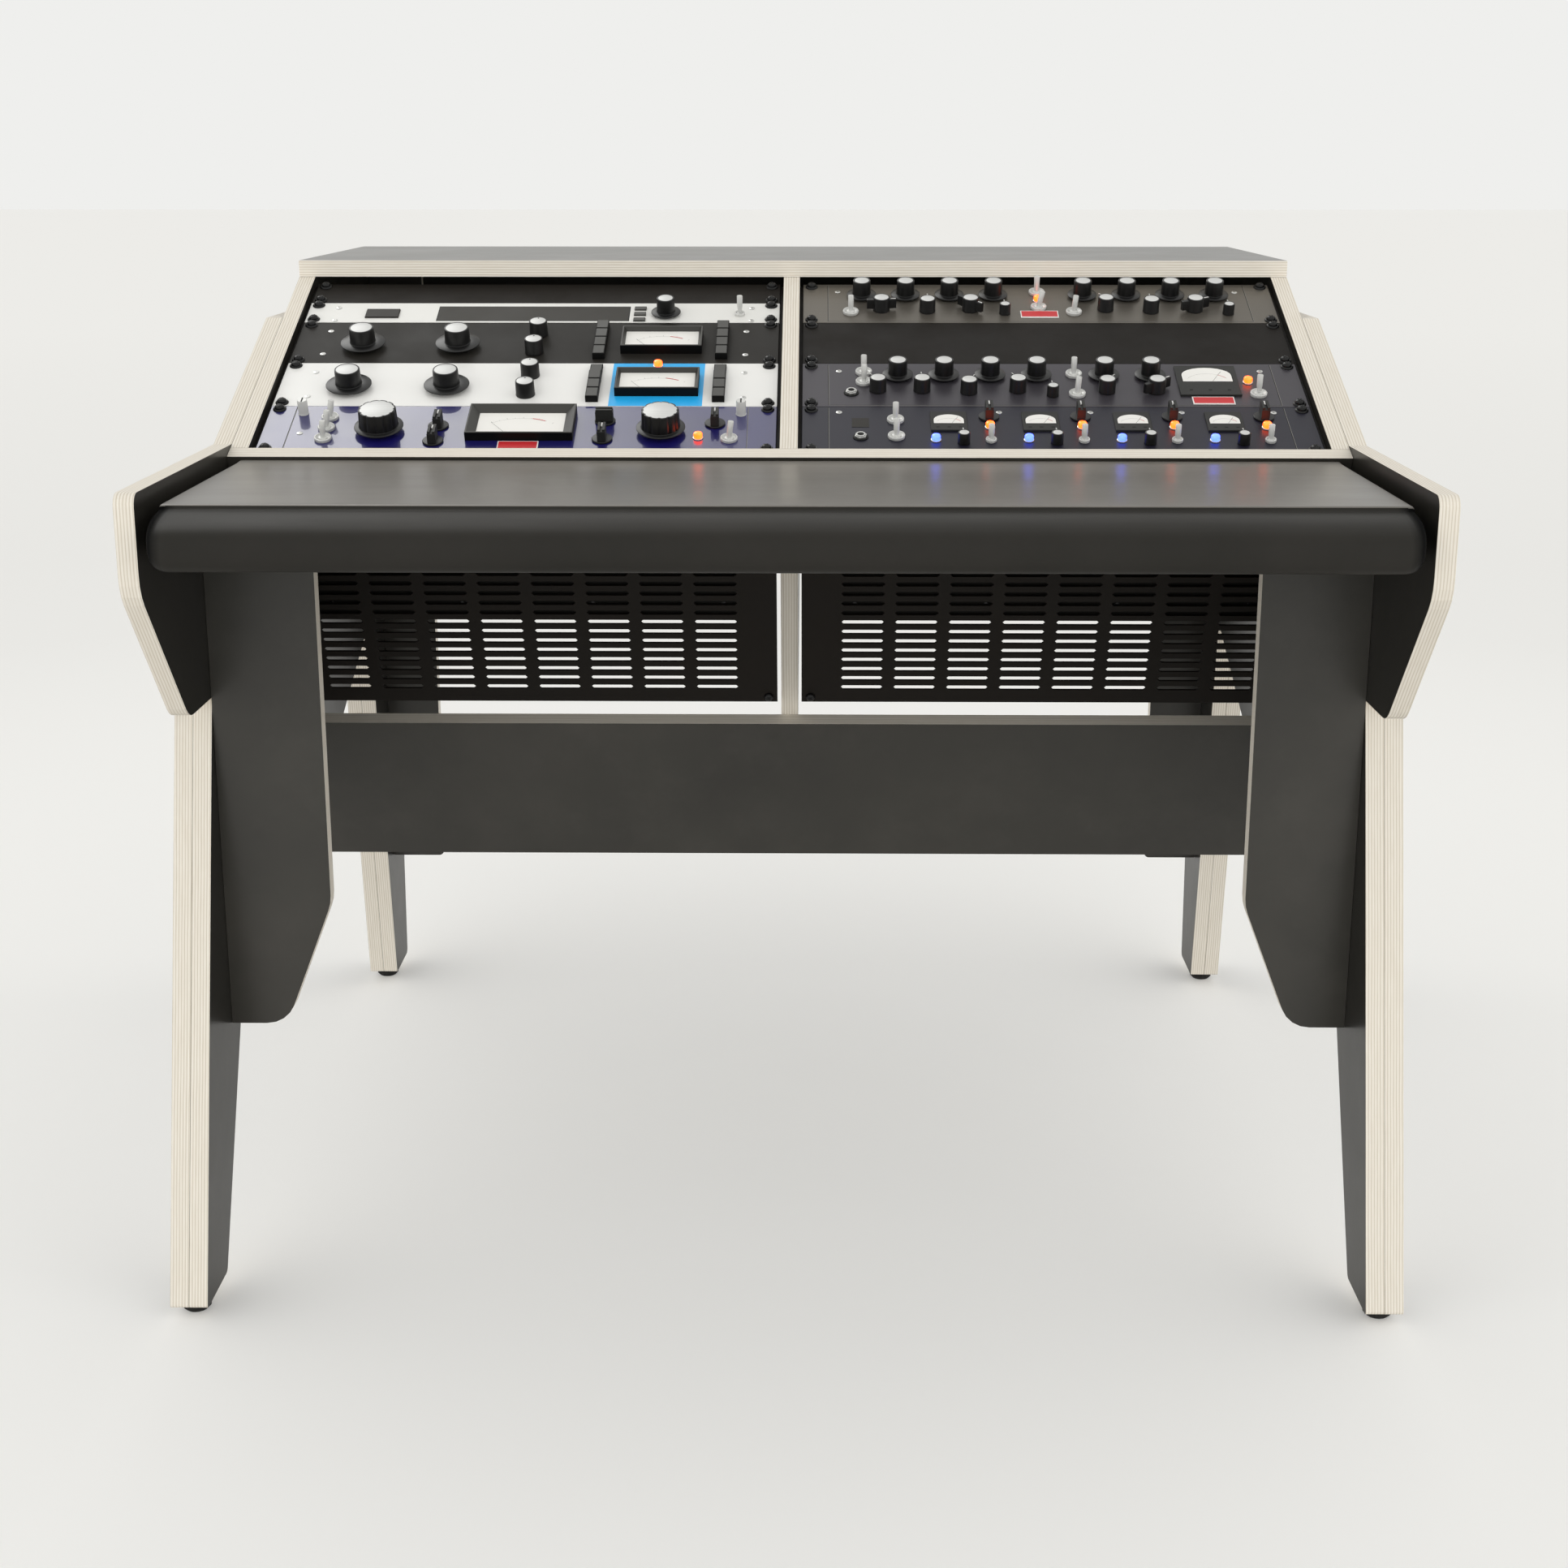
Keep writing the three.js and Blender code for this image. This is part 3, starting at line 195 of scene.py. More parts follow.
def board_material(name, axis, low, shade=1.0, specular=0.5):
    """Birch plywood under dark laminate: the plies run across axis, from the plane at low."""
    s = Shader(name, Specular_IOR_Level=specular)
    place = s.coords()
    stretch = [FIBRE_ALONG + FIBRE_ACROSS * abs(a) for a in axis]
    stretched = s.add("VectorMath", {0: place, 1: stretch}, operation="MULTIPLY").outputs[0]
    fibre = s.noise(stretched, 1.0, 4.0, 0.6)
    wobble = s.span(s.noise(place, 9.0, 2.0), -PLY_WOBBLE, PLY_WOBBLE)
    across = s.math("ADD", s.math("SUBTRACT", s.dot(place, axis), low), wobble)
    plies = s.ramp(s.math("FRACT", s.math("MULTIPLY", across, 1 / PLY_PITCH)), PLIES)
    edge = s.mix(s.span(fibre, 0.0, 0.22), plies, rgb(FIBRE), "MULTIPLY")
    patch = s.noise(place, 11.0, 6.0, 0.7)
    laminate = s.ramp(s.noise(place, 3.4, 7.0, 0.62), LAMINATE)
    laminate = s.mix(s.span(patch, 0.0, 0.35, 0.5, 0.8), laminate, rgb(LAMINATE_RUBBED))
    # Painted light: shade multiplies the laminate, below 1 for painted shade and above 1 for a painted
    # highlight
    laminate = s.mix(1.0, laminate, grey(shade), "MULTIPLY")
    normal = s.add("NewGeometry").outputs["True Normal"]
    is_face = s.math("GREATER_THAN", s.math("ABSOLUTE", s.dot(normal, axis)), FACE_COSINE)
    s.base(s.mix(is_face, edge, laminate))
    s.rough(s.mix(is_face, grey(EDGE_ROUGHNESS), s.span(patch, *LAMINATE_ROUGHNESS)))
    grain = s.noise(place, 700.0, 2.0)
    relief = s.math("ADD", s.math("MULTIPLY", grain, 0.3), s.math("MULTIPLY", fibre, 0.5))
    s.bump(relief, 0.1, 0.0002)
    return s.material


def speckled(name, color, roughness, shade, grain=900.0, depth=0.00012, metallic=0.0, **sockets):
    """Paint or moulded plastic: slow tone changes down to shade, and a fine raised grain."""
    s = Shader(name, Metallic=metallic, **sockets)
    place = s.coords()
    cloud = s.noise(place, 18.0, 5.0, 0.6)
    tone = rgb(color)
    s.base(s.mix(s.span(cloud, 0.0, 1.0), darker(tone, shade), tone))
    s.rough(s.span(cloud, roughness * 0.88, min(1.0, roughness * 1.12)))
    s.bump(s.noise(place, grain, 2.0), 0.3, depth)
    return s.material


BRUSH_STRETCH = (6, 900, 900)


def brushed(name, color, roughness, metallic):
    """Metal with fine lines along X."""
    s = Shader(name, Metallic=metallic)
    lines = s.noise(s.coords(BRUSH_STRETCH), 1.0, 3.0, 0.6)
    cloud = s.noise(s.coords(), 6.0, 3.0)
    tone = rgb(color)
    s.base(s.mix(s.span(lines, 0.0, 1.0), darker(tone, 0.86), tone))
    polish = s.span(lines, roughness * 0.85, roughness * 1.1)
    s.rough(s.math("ADD", polish, s.span(cloud, -0.03, 0.03)))
    s.bump(lines, 0.15, 0.00008)
    return s.material


PEBBLE_SCALE = 620.0
# Painted shade at the ends of the pad, beside the arms: black, and dull
END_PAINTED_SHADE = "050505"
END_ROUGHNESS = 0.95


def upholstery(name, low, high, roughness, depth, ends=None, **sockets):
    """Artificial leather with a pebble grain, rubbed unevenly; dull and painted black beyond the ends,
    painted shade beside the arms.
    """
    s = Shader(name, **sockets)
    place = s.coords()
    cells = s.add("TexVoronoi", {"Vector": place, "Scale": PEBBLE_SCALE}, feature="SMOOTH_F1")
    cloud = s.noise(place, 5.0, 6.0, 0.6)
    rub = s.noise(s.coords((2.2, 9.0, 9.0)), 2.0, 5.0, 0.6)
    tone = s.mix(s.span(cloud, 0.0, 1.0), rgb(low), rgb(high))
    gloss = s.span(rub, roughness * 0.9, roughness * 1.1)
    # Painted shade: the leather turns black and dull towards the ends
    if ends:
        across = s.math("ABSOLUTE", s.add("SeparateXYZ", {0: place}).outputs["X"])
        tone = s.mix(s.span(across, 0.0, 1.0, *ends), tone, rgb(END_PAINTED_SHADE))
        gloss = s.math("MAXIMUM", gloss, s.span(across, 0.0, END_ROUGHNESS, *ends))
    s.base(tone)
    s.rough(gloss)
    s.bump(s.math("ADD", cells.outputs["Distance"], s.math("MULTIPLY", cloud, 0.3)), 0.1, depth)
    return s.material


LAMP_STRENGTH = (5.0, 6.4)


def glowing(name, color, light):
    """Lit coloured glass: brighter than the screen can show, so that it tints the metal beside it."""
    s = Shader(name, Roughness=0.2, Coat_Weight=0.5)
    facets = s.noise(s.coords(), 260.0, 2.0)
    glass = rgb(color)
    s.base(s.mix(s.span(facets, 0.0, 1.0), glass, [min(1.0, c * 1.25 + 0.02) for c in glass]))
    s.put(s.bsdf, "Emission Color", light + [1.0])
    s.put(s.bsdf, "Emission Strength", s.span(facets, *LAMP_STRENGTH))
    return s.material


# Name, colour, roughness, darkest shade, grain size, grain depth, metallic
STEEL = speckled("black_powder_coat", "1a1612", 0.6, 0.75, 1300.0, 0.0002, Specular_IOR_Level=0.15)
CHASSIS = speckled("chassis_black", "181715", 0.45, 0.8, 700.0, 0.0001, 0.2, Specular_IOR_Level=0.3)
RUBBER = speckled("rubber", "171615", 0.78, 0.7, 500.0, 0.0003)
PLASTIC = speckled("knob_plastic", "0d0d0d", 0.36, 0.8, 1500.0, 0.00005)
CAP = brushed("knob_cap", "d4d4d2", 0.38, 0.15)
NICKEL = brushed("nickel", "dadad7", 0.3, 0.9)
TOGGLE = speckled("toggle_metal", "cfcfcc", 0.36, 0.96, 300.0, 0.00001, 0.25)
SCREW = speckled("screw_black", "0b0b0c", 0.3, 0.8, 400.0, 0.00004, 0.2)
MARK = speckled("mark_white", "f2f1ee", 0.5, 0.94, 300.0, 0.00002)
DARK = speckled("mark_black", "101010", 0.5, 0.8, 300.0, 0.00002, Specular_IOR_Level=0.2)
RED = speckled("mark_red", "c8242b", 0.45, 0.85, 300.0, 0.00002)
PAPER = speckled("meter_paper", "eceae5", 0.5, 0.97, 260.0, 0.00002)
PRINT = speckled("meter_print", "8d8b86", 0.6, 0.9, 300.0, 0.00002)
BEZEL = speckled("meter_bezel", "34332f", 0.42, 0.86, 900.0, 0.00006)
BEZEL_SIDE = speckled("meter_side", "060606", 0.5, 0.8, 500.0, 0.00004, Specular_IOR_Level=0.2)
PLATE = speckled("meter_plate", "242422", 0.46, 0.88, 900.0, 0.00006, Specular_IOR_Level=0.3)
SCREEN = speckled("display_screen", "34322e", 0.4, 0.9, 200.0, 0.00002, Specular_IOR_Level=0.12)
BADGE = speckled("blank_badge", "363431", 0.45, 0.85, 600.0, 0.00006, Specular_IOR_Level=0.12)
BLUE_PRINT = speckled("panel_light_blue", "23aef0", 0.42, 0.95, 500.0, 0.00004)
AMBER = glowing("lamp_amber", "c05a10", [1.0, 0.072, 0.006])
BLUE = glowing("lamp_blue", "3a5cb0", [0.047, 0.085, 1.0])
BLUE_LACQUER = {"Coat_Weight": 1.0, "Coat_Roughness": 0.02}


def panel(finish, slot, *values, **sockets):
    """The material of a panel, and the material slot of the same name."""
    return finish(slot, *values, **sockets), slot


PANELS = {
    "blank_panel_1u": (STEEL, "black_steel"),
    "blank_panel_2u": (STEEL, "black_steel"),
    "monitor_controller": panel(speckled, "panel_white", "e0dfdb", 0.42, 0.98),
    "compressor_black": panel(speckled, "panel_black", "272522", 0.5, 0.85, Specular_IOR_Level=0.13),
    "compressor_silver": panel(speckled, "panel_silver", "e8e7e4", 0.42, 0.98),
    "limiter_blue": panel(speckled, "panel_blue", "17145a", 0.32, 0.9, 300.0, 0.00001, **BLUE_LACQUER),
    "equaliser": panel(brushed, "panel_bronze", "6b665e", 0.36, 0.5),
    "channel_strip": panel(speckled, "panel_gunmetal", "434046", 0.34, 0.9, metallic=0.35),
    "quad_dynamics": panel(speckled, "panel_navy", "191826", 0.38, 0.88, Specular_IOR_Level=0.35),
}


# Mesh building

SHARP_ANGLE = math.radians(35)


class Build:
    """Collects turned, extruded and flat shapes in one mesh, each with its material."""

    def __init__(self):
        self.bm = bmesh.new()
        self.materials = []

    def faces(self, matrix, points, loops, material, smooth=True):
        if material not in self.materials:
            self.materials.append(material)
        index = self.materials.index(material)
        verts = [self.bm.verts.new(matrix @ Vector(point)) for point in points]
        for loop in loops:
            face = self.bm.faces.new([verts[i] for i in loop])
            face.material_index = index
            face.smooth = smooth

    def lathe(self, matrix, profile, material, segments=32, flutes=0, depth=0.0):
        """Turns (radius, height) points, from the lower to the upper, about Z; a radius of 0 is a pole."""
        points, rings = [], []
        for radius, height in profile:
            if radius == 0:
                rings.append([len(points)] * segments)
                points.append((0, 0, height))
                continue
            ring = []
            for k in range(segments):
                angle = 2 * math.pi * k / segments
                fluted = radius - (depth * max(0.0, math.cos(flutes * angle)) ** 2 if flutes else 0.0)
                ring.append(len(points))
                points.append((fluted * math.cos(angle), fluted * math.sin(angle), height))
            rings.append(ring)
        loops = []
        for a, b in zip(rings, rings[1:]):
            for k in range(segments):
                n = (k + 1) % segments
                loop = list(dict.fromkeys((a[k], a[n], b[n], b[k])))
                if len(loop) > 2:
                    loops.append(loop)
        self.faces(matrix, points, loops, material)

    def prism(self, matrix, outline, low, high, material, bevel=0.0):
        """A counterclockwise outline raised along Z, with its upper edge bevelled inwards."""
        slant = 1.3
        count = len(outline)
        centre = [sum(p[i] for p in outline) / count for i in (0, 1)]
        rings = [(low, 0.0), (high - bevel, 0.0)] + ([(high, bevel)] if bevel else [])
        points = []
        for height, inset in rings:
            for x, y in outline:
                dx, dy = x - centre[0], y - centre[1]
                share = 1 - inset * slant / (math.hypot(dx, dy) or 1.0)
                points.append((centre[0] + dx * share, centre[1] + dy * share, height))
        loops = [tuple(range(count - 1, -1, -1)), tuple(range(len(points) - count, len(points)))]
        for level in range(len(rings) - 1):
            for k in range(count):
                n = (k + 1) % count
                a, b = level * count, (level + 1) * count
                loops.append((a + k, a + n, b + n, b + k))
        self.faces(matrix, points, loops, material, smooth=False)

    def box(self, matrix, low, high, material, bevel=0.0):
        outline = [(low[0], low[1]), (high[0], low[1]), (high[0], high[1]), (low[0], high[1])]
        self.prism(matrix, outline, low[2], high[2], material, bevel)

    def done(self, name, body="desk", replaces=()):
        """Makes the piece and lets it ride on its body; nothing is made of an empty build."""
        if not self.bm.faces:
            self.bm.free()
            return
        mesh = bpy.data.meshes.new(name)
        self.bm.normal_update()
        self.bm.to_mesh(mesh)
        self.bm.free()
        for material in self.materials:
            mesh.materials.append(material)
        mesh.set_sharp_from_angle(angle=SHARP_ANGLE)
        piece = bpy.data.objects.new(name, mesh)
        bpy.context.scene.collection.objects.link(piece)
        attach(piece, body)
        if replaces:
            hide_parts(*replaces)


def at(x, y, z=0.0, turn=0.0):
    return Matrix.Translation((x, y, z)) @ Matrix.Rotation(math.radians(turn), 4, "Z")


def hexagon(radius, start):
    angles = [start + 2 * math.pi / 6 * k for k in range(6)]
    return [(radius * math.cos(a), radius * math.sin(a)) for a in angles]


def polar(centre, radius, degrees):
    angle = math.radians(degrees)
    return centre[0] + radius * math.cos(angle), centre[1] + radius * math.sin(angle)


# Boards, feet, strips and vents keep their solids and get their finish
BOARDS = {
    (1.0, 0.0, 0.0): ["side_frame", "rack_side", "leg_doubler", "centre_divider"],
    (0.0, 1.0, 0.0): ["front_gusset", "rear_gusset"],
    (0.0, 0.0, 1.0): ["top_shelf", "pad_board"],
    tuple(SLOPE): ["front_rail", "modesty_panel"],
}
# Painted shade: the laminate of the side boards is multiplied darker, for the shade on their faces
SIDE_PAINTED_SHADE = {"shade": 0.5, "specular": 0.27}
# Painted shade: the rear rail's laminate is multiplied darker, for the shade in the gap above the rack
RAIL_PAINTED_SHADE = {"shade": 0.5, "specular": 0.3}
# Painted highlight: the shelf's laminate is multiplied lighter, for the reflection on its top
SHELF_PAINTED_HIGHLIGHT = {"shade": 1.8}
BOARD_EDGE = 0.0003
STEEL_EDGE = 0.0002
RUBBER_EDGE = 0.0004
EDGE_ANGLE = math.radians(40)


def finish_solid(node, material, edge):
    """Gives a solid its material and softens its edges."""
    node.data.materials.clear()
    node.data.materials.append(material)
    bevel = node.modifiers.new("soft_edges", "BEVEL")
    bevel.width = edge
    bevel.segments = 2
    bevel.limit_method = "ANGLE"
    bevel.angle_limit = EDGE_ANGLE


for axis, stems in BOARDS.items():
    for name, node in NODES.items():
        if any(name == stem or name in (stem + "_left", stem + "_right") for stem in stems):
            low = min(vertex.co.dot(Vector(axis)) for vertex in node.data.vertices)
            # The side boards get painted shade and the shelf a painted highlight
            tone = SIDE_PAINTED_SHADE if axis[0] else SHELF_PAINTED_HIGHLIGHT if name == "top_shelf" else {}
            finish_solid(node, board_material("plywood_" + name, axis, low, **tone), BOARD_EDGE)

# The rail under the rear edge belongs to the shelf's solid and stands upright
SHELF_UNDERSIDE = 0.88
shelf = NODES["top_shelf"]
rail_front = min(vertex.co.y for vertex in shelf.data.vertices if vertex.co.z < SHELF_UNDERSIDE)
# The rail's laminate gets painted shade
rail_material = board_material("plywood_rear_rail", (0.0, 1.0, 0.0), rail_front, **RAIL_PAINTED_SHADE)
shelf.data.materials.append(rail_material)
for polygon in shelf.data.polygons:
    if polygon.center.z < SHELF_UNDERSIDE:
        polygon.material_index = 1
for name, node in NODES.items():
    if name.startswith(("vent_", "rack_strip")):
        finish_solid(node, STEEL, STEEL_EDGE)
    elif name.startswith("foot_"):
        finish_solid(node, RUBBER, RUBBER_EDGE)


# Controls

KNOB_TAPER = 0.965
FLUTE_DEPTH = 1.1


def knob(b, m, skirt, cap, height, lift, segments, flutes):
    """A turned knob over a thin flared skirt, with an inlaid cap and a white index line."""
    top = cap * KNOB_TAPER
    b.lathe(m, [
        (0, 0), (cap * 0.8, 0), (cap * 0.8, lift), (skirt - 0.5, lift), (skirt, lift + 0.35),
        (skirt, lift + 0.8), (skirt - 0.45, lift + 1.15), (cap + 0.5, lift + 1.6), (cap + 0.1, lift + 2.0),
    ], PLASTIC, segments)
    b.lathe(m, [
        (cap + 0.1, lift + 2.0), (cap, lift + 3.0), (top, height - 0.9), (top - 0.25, height - 0.3),
        (top - 0.8, height), (top - 1.5, height), (top - 1.6, height - 0.25),
    ], PLASTIC, segments * (2 if flutes else 1), flutes, FLUTE_DEPTH)
    inlay(b, m, top - 1.6, height - 0.25, segments)
    b.box(m, (-0.45, cap + 2.4, lift + 1.2), (0.45, skirt - 1.0, lift + 1.5), MARK)


def inlay(b, m, radius, height, segments):
    """The bright disc in the end of a knob."""
    b.lathe(m, [
        (radius, height - 0.1), (radius, height), (radius - 0.4, height + 0.15), (0, height + 0.15),
    ], CAP, segments)


def plain_knob(b, m, radius, height, dot=False, pin=None):
    """A straight knob with an inlaid cap, and a dot or a bright index pin at the rim."""
    top = radius * KNOB_TAPER
    b.lathe(m, [
        (0, 0), (radius - 0.3, 0), (radius, 0.4), (radius, 1.6), (radius - 0.15, 2.0), (top, height - 0.8),
        (top - 0.25, height - 0.25), (top - 0.7, height), (top - 1.1, height), (top - 1.2, height - 0.25),
    ], PLASTIC, 36)
    inlay(b, m, top - 1.2, height - 0.25, 36)
    if dot:
        b.lathe(m @ at(0, top * 0.6, height - 0.1), [(0, 0), (0.8, 0), (0.8, 0.12), (0, 0.12)], DARK, 12)
    if pin is not None:
        turned = m @ at(0, 0, 0, pin)
        b.box(turned, (-0.6, top - 0.6, height - 4.5), (0.6, top + 1.7, height - 0.6), PLASTIC, 0.2)
        b.box(turned, (-0.5, top - 0.8, height - 1.6), (0.5, top + 3.6, height - 0.5), NICKEL, 0.1)


def wing_knob(b, m, turn):
    """A plain knob between two wings, one of them with a white line."""
    plain_knob(b, m, 8.6, 14.5)
    turned = m @ at(0, 0, 0, turn)
    root, tip, reach = 2.6, 2.0, (7.4, 15.0)
    for side in (-1, 1):
        left, right = sorted(side * x for x in reach)
        low, high = (tip, root) if side < 0 else (root, tip)
        outline = [(left, -low), (right, -high), (right, high), (left, low)]
        b.prism(turned, outline, 2.6, 12.4, PLASTIC, 0.5)
    b.box(turned, (9.4, -0.45, 12.3), (14.4, 0.45, 12.52), MARK)


def pointer_knob(b, m, turn):
    """An upright bar on a thin disc, forked along its top, with a white mark near its far end."""
    b.lathe(m, [(0, 0), (9.3, 0), (9.8, 0.4), (9.8, 1.6), (9.3, 2.1), (4.6, 2.6), (0, 2.7)], PLASTIC, 36)
    turned = m @ at(0, 0, 0, turn)
    b.prism(turned, [(-3.9, -7.8), (3.9, -7.8), (3.6, 8.8), (-3.6, 8.8)], 2.0, 12.2, PLATE, 0.3)
    for side in (-1, 1):
        low, high = sorted((side * 1.1, side * 3.5))
        b.box(turned, (low, -7.2, 12.0), (high, 8.4, 14.2), PLATE, 0.3)
    b.box(turned, (-0.7, 2.6, 12.1), (0.7, 8.6, 13.2), MARK, 0.1)


BUSH = 8.1
SMALL_BUSH = 5.2


def bush(b, m, radius):
    """The dished nut of a toggle switch, with the end of its bush."""
    b.lathe(m, [
        (0, 0), (radius - 0.2, 0), (radius, 0.3), (radius, 2.5), (radius - 0.4, 3.0), (radius - 1.1, 3.0),
        (radius - 1.6, 2.3), (radius * 0.55, 1.5), (radius * 0.5, 2.5), (radius * 0.44, 2.7), (0, 2.7),
    ], TOGGLE, 32)


def lever(b, m, length, tilt, sideways=0.0, base=2.6):
    """A flat-topped bat lever leaning up the panel by tilt degrees."""
    lean = m @ Matrix.Translation((0, 0, base)) @ Matrix.Rotation(math.radians(sideways), 4, "Y")
    lean = lean @ Matrix.Rotation(-math.radians(tilt), 4, "X")
    b.lathe(lean, [
        (0, -2.0), (1.9, -1.6), (2.2, 0.6), (2.8, length * 0.3), (2.9, length - 0.6), (2.5, length),
        (0, length),
    ], TOGGLE, 20)


def toggle(b, m, sideways):
    bush(b, m, BUSH)
    lever(b, m, 15.5, 12, sideways)


def small_toggle(b, m):
    bush(b, m, SMALL_BUSH)
    lever(b, m, 14.0, 10)


def lamp(b, m, glow):
    """A domed glass in a bright collar."""
    radius = 4.2
    b.lathe(m, [
        (radius + 0.7, 0), (radius + 0.8, 0.4), (radius + 0.6, 0.9), (radius, 1.1), (radius, 0.6),
    ], NICKEL, 28)
    b.lathe(m, [
        (radius, 0.7), (radius, 4.4), (radius * 0.86, 5.4), (radius * 0.52, 6.0), (0, 6.2),
    ], glow, 28)


def jack(b, m):
    """A headphone socket: a washer, a nut, a bright bush, and a dark disc of painted shade in its hole."""
    b.lathe(m, [(0, 0), (7.3, 0), (7.4, 0.3), (7.2, 0.8), (5.2, 0.9)], DARK, 32)
    b.prism(m, hexagon(6.0, 0.3), 0.7, 2.8, NICKEL, 0.4)
    b.lathe(m, [(4.6, 2.7), (4.6, 3.6), (4.2, 3.9), (3.4, 3.9), (3.1, 3.6), (3.1, 2.9)], NICKEL, 28)
    b.lathe(m, [(3.1, 2.95), (0, 2.97)], DARK, 20)


def post(b, m):
    """A slotted fuse holder."""
    b.lathe(m, [
        (0, 0), (5.0, 0), (5.1, 0.3), (5.0, 1.0), (4.7, 1.3), (4.7, 14.0), (4.3, 14.9), (0, 14.9),
    ], TOGGLE, 28)
    # Painted shade: the slot is a dark bar on the cap
    b.box(m, (-0.7, -4.2, 14.8), (0.7, 4.2, 14.98), DARK)


def small_screw(b, m):
    """A flat bright screw with a cross recess."""
    radius = 2.9
    b.lathe(m, [(radius + 0.1, 0.02), (radius, 0.4), (radius * 0.8, 0.62), (0, 0.66)], NICKEL, 20)
    # Painted shade: the cross recess is two dark bars on the head
    for turn in (20, 110):
        b.box(m @ at(0, 0, 0, turn), (-radius * 0.5, -0.2, 0.5), (radius * 0.5, 0.2, 0.68), BEZEL)


def rack_screw(b, m, turn, washer=True):
    """A black pan head with a cross recess, on rack units over a cup washer."""
    if washer:
        b.lathe(m, [(6.3, 0.0), (6.4, 0.4), (5.9, 1.3), (5.2, 1.7), (4.6, 1.5)], SCREW, 28)
    seat = m @ at(0, 0, 0.0 if washer else -1.3)
    b.lathe(seat, [(4.5, 1.3), (4.6, 2.2), (4.2, 3.4), (3.2, 4.3), (1.7, 4.75), (0, 4.85)], SCREW, 28)
    for quarter in (0, 90):
        b.box(seat @ at(0, 0, 0, turn + quarter), (-2.4, -0.45, 4.3), (2.4, 0.45, 4.9), DARK)


KEY_RISE = 7.0
KEY_RISE_PRESSED = 3.6


def keys(b, m, x, low, high, pressed=None):
    """A column of four latching buttons with paler tops, one of which may be in."""
    pitch = (high - low) / 4
    for k in range(4):
        y = low + k * pitch
        rise = KEY_RISE_PRESSED if k == pressed else KEY_RISE
        b.box(m, (x - 6.0, y + 0.5, 0), (x + 6.0, y + pitch - 0.5, rise - 0.3), BEZEL_SIDE, 0.5)
        b.box(m, (x - 5.4, y + 1.1, rise - 0.5), (x + 5.4, y + pitch - 1.1, rise), BEZEL, 0.35)


def band(b, m, centre, radius, width, start, end, z, material):
    """A flat arc, from start to end degrees."""
    count = 14
    angles = [start + (end - start) * k / (count - 1) for k in range(count)]
    points = [(*polar(centre, reach, a), z) for reach in (radius, radius + width) for a in angles]
    loops = [(k, k + 1, count + k + 1, count + k) for k in range(count - 1)]
    if end > start:
        loops = [tuple(reversed(loop)) for loop in loops]
    b.faces(m, points, loops, material, smooth=False)


def stroke(b, m, start, end, width, z, material):
    """A flat straight line."""
    (x0, y0), (x1, y1) = start, end
    length = math.hypot(x1 - x0, y1 - y0)
    nx, ny = -(y1 - y0) / length * width / 2, (x1 - x0) / length * width / 2
    points = [(x0 + nx, y0 + ny, z), (x0 - nx, y0 - ny, z), (x1 - nx, y1 - ny, z), (x1 + nx, y1 + ny, z)]
    b.faces(m, points, [(0, 1, 2, 3)], material, smooth=False)


HAIRLINE = 0.25
SCALE_START = 125
SCALE_SWEEP = 73
SCALE_TICKS = 9
NEEDLE_ANGLE = 126


def framed_meter(b, m, width, height, rise, edge, bevel, drop, red):
    """A raised bezel that slopes down to a white scale with an arc, ticks and a needle."""
    w, h = width / 2, height / 2
    steps = [
        (0.0, 0.0), (0.0, rise - 0.5), (0.5, rise), (edge, rise), (edge + bevel, rise - drop),
        (edge + bevel, rise - drop - 0.6),
    ]
    points = []
    for inset, z in steps:
        x, y = w - inset, h - inset
        points += [(-x, -y, z), (x, -y, z), (x, y, z), (-x, y, z)]
    for level in range(len(steps) - 1):
        a, c = 4 * level, 4 * level + 4
        loops = [(a + k, a + (k + 1) % 4, c + (k + 1) % 4, c + k) for k in range(4)]
        b.faces(m, points, loops, BEZEL_SIDE if level == 0 else BEZEL, smooth=False)
    x, y, z = w - edge - bevel, h - edge - bevel, rise - drop - 0.5
    b.faces(m, [(-x, -y, z), (x, -y, z), (x, y, z), (-x, y, z)], [(0, 1, 2, 3)], PAPER, smooth=False)
    radius = x * 1.15
    pivot = (0, -y - radius * 0.42)
    band(b, m, pivot, radius, 0.2, SCALE_START, 62, z + 0.05, PRINT)
    band(b, m, pivot, radius + 0.2, 1.1, *red, z + 0.06, RED)
    for k in range(SCALE_TICKS):
        angle = SCALE_START - SCALE_SWEEP * k / (SCALE_TICKS - 1)
        length = 2.6 if k % 2 == 0 else 1.6
        ends = [polar(pivot, radius + reach, angle) for reach in (0.2, length)]
        stroke(b, m, *ends, HAIRLINE, z + 0.05, PRINT)
    needle = [polar(pivot, reach, NEEDLE_ANGLE) for reach in (radius * 0.45, radius + 1.5)]
    stroke(b, m, *needle, HAIRLINE, z + 0.4, DARK)


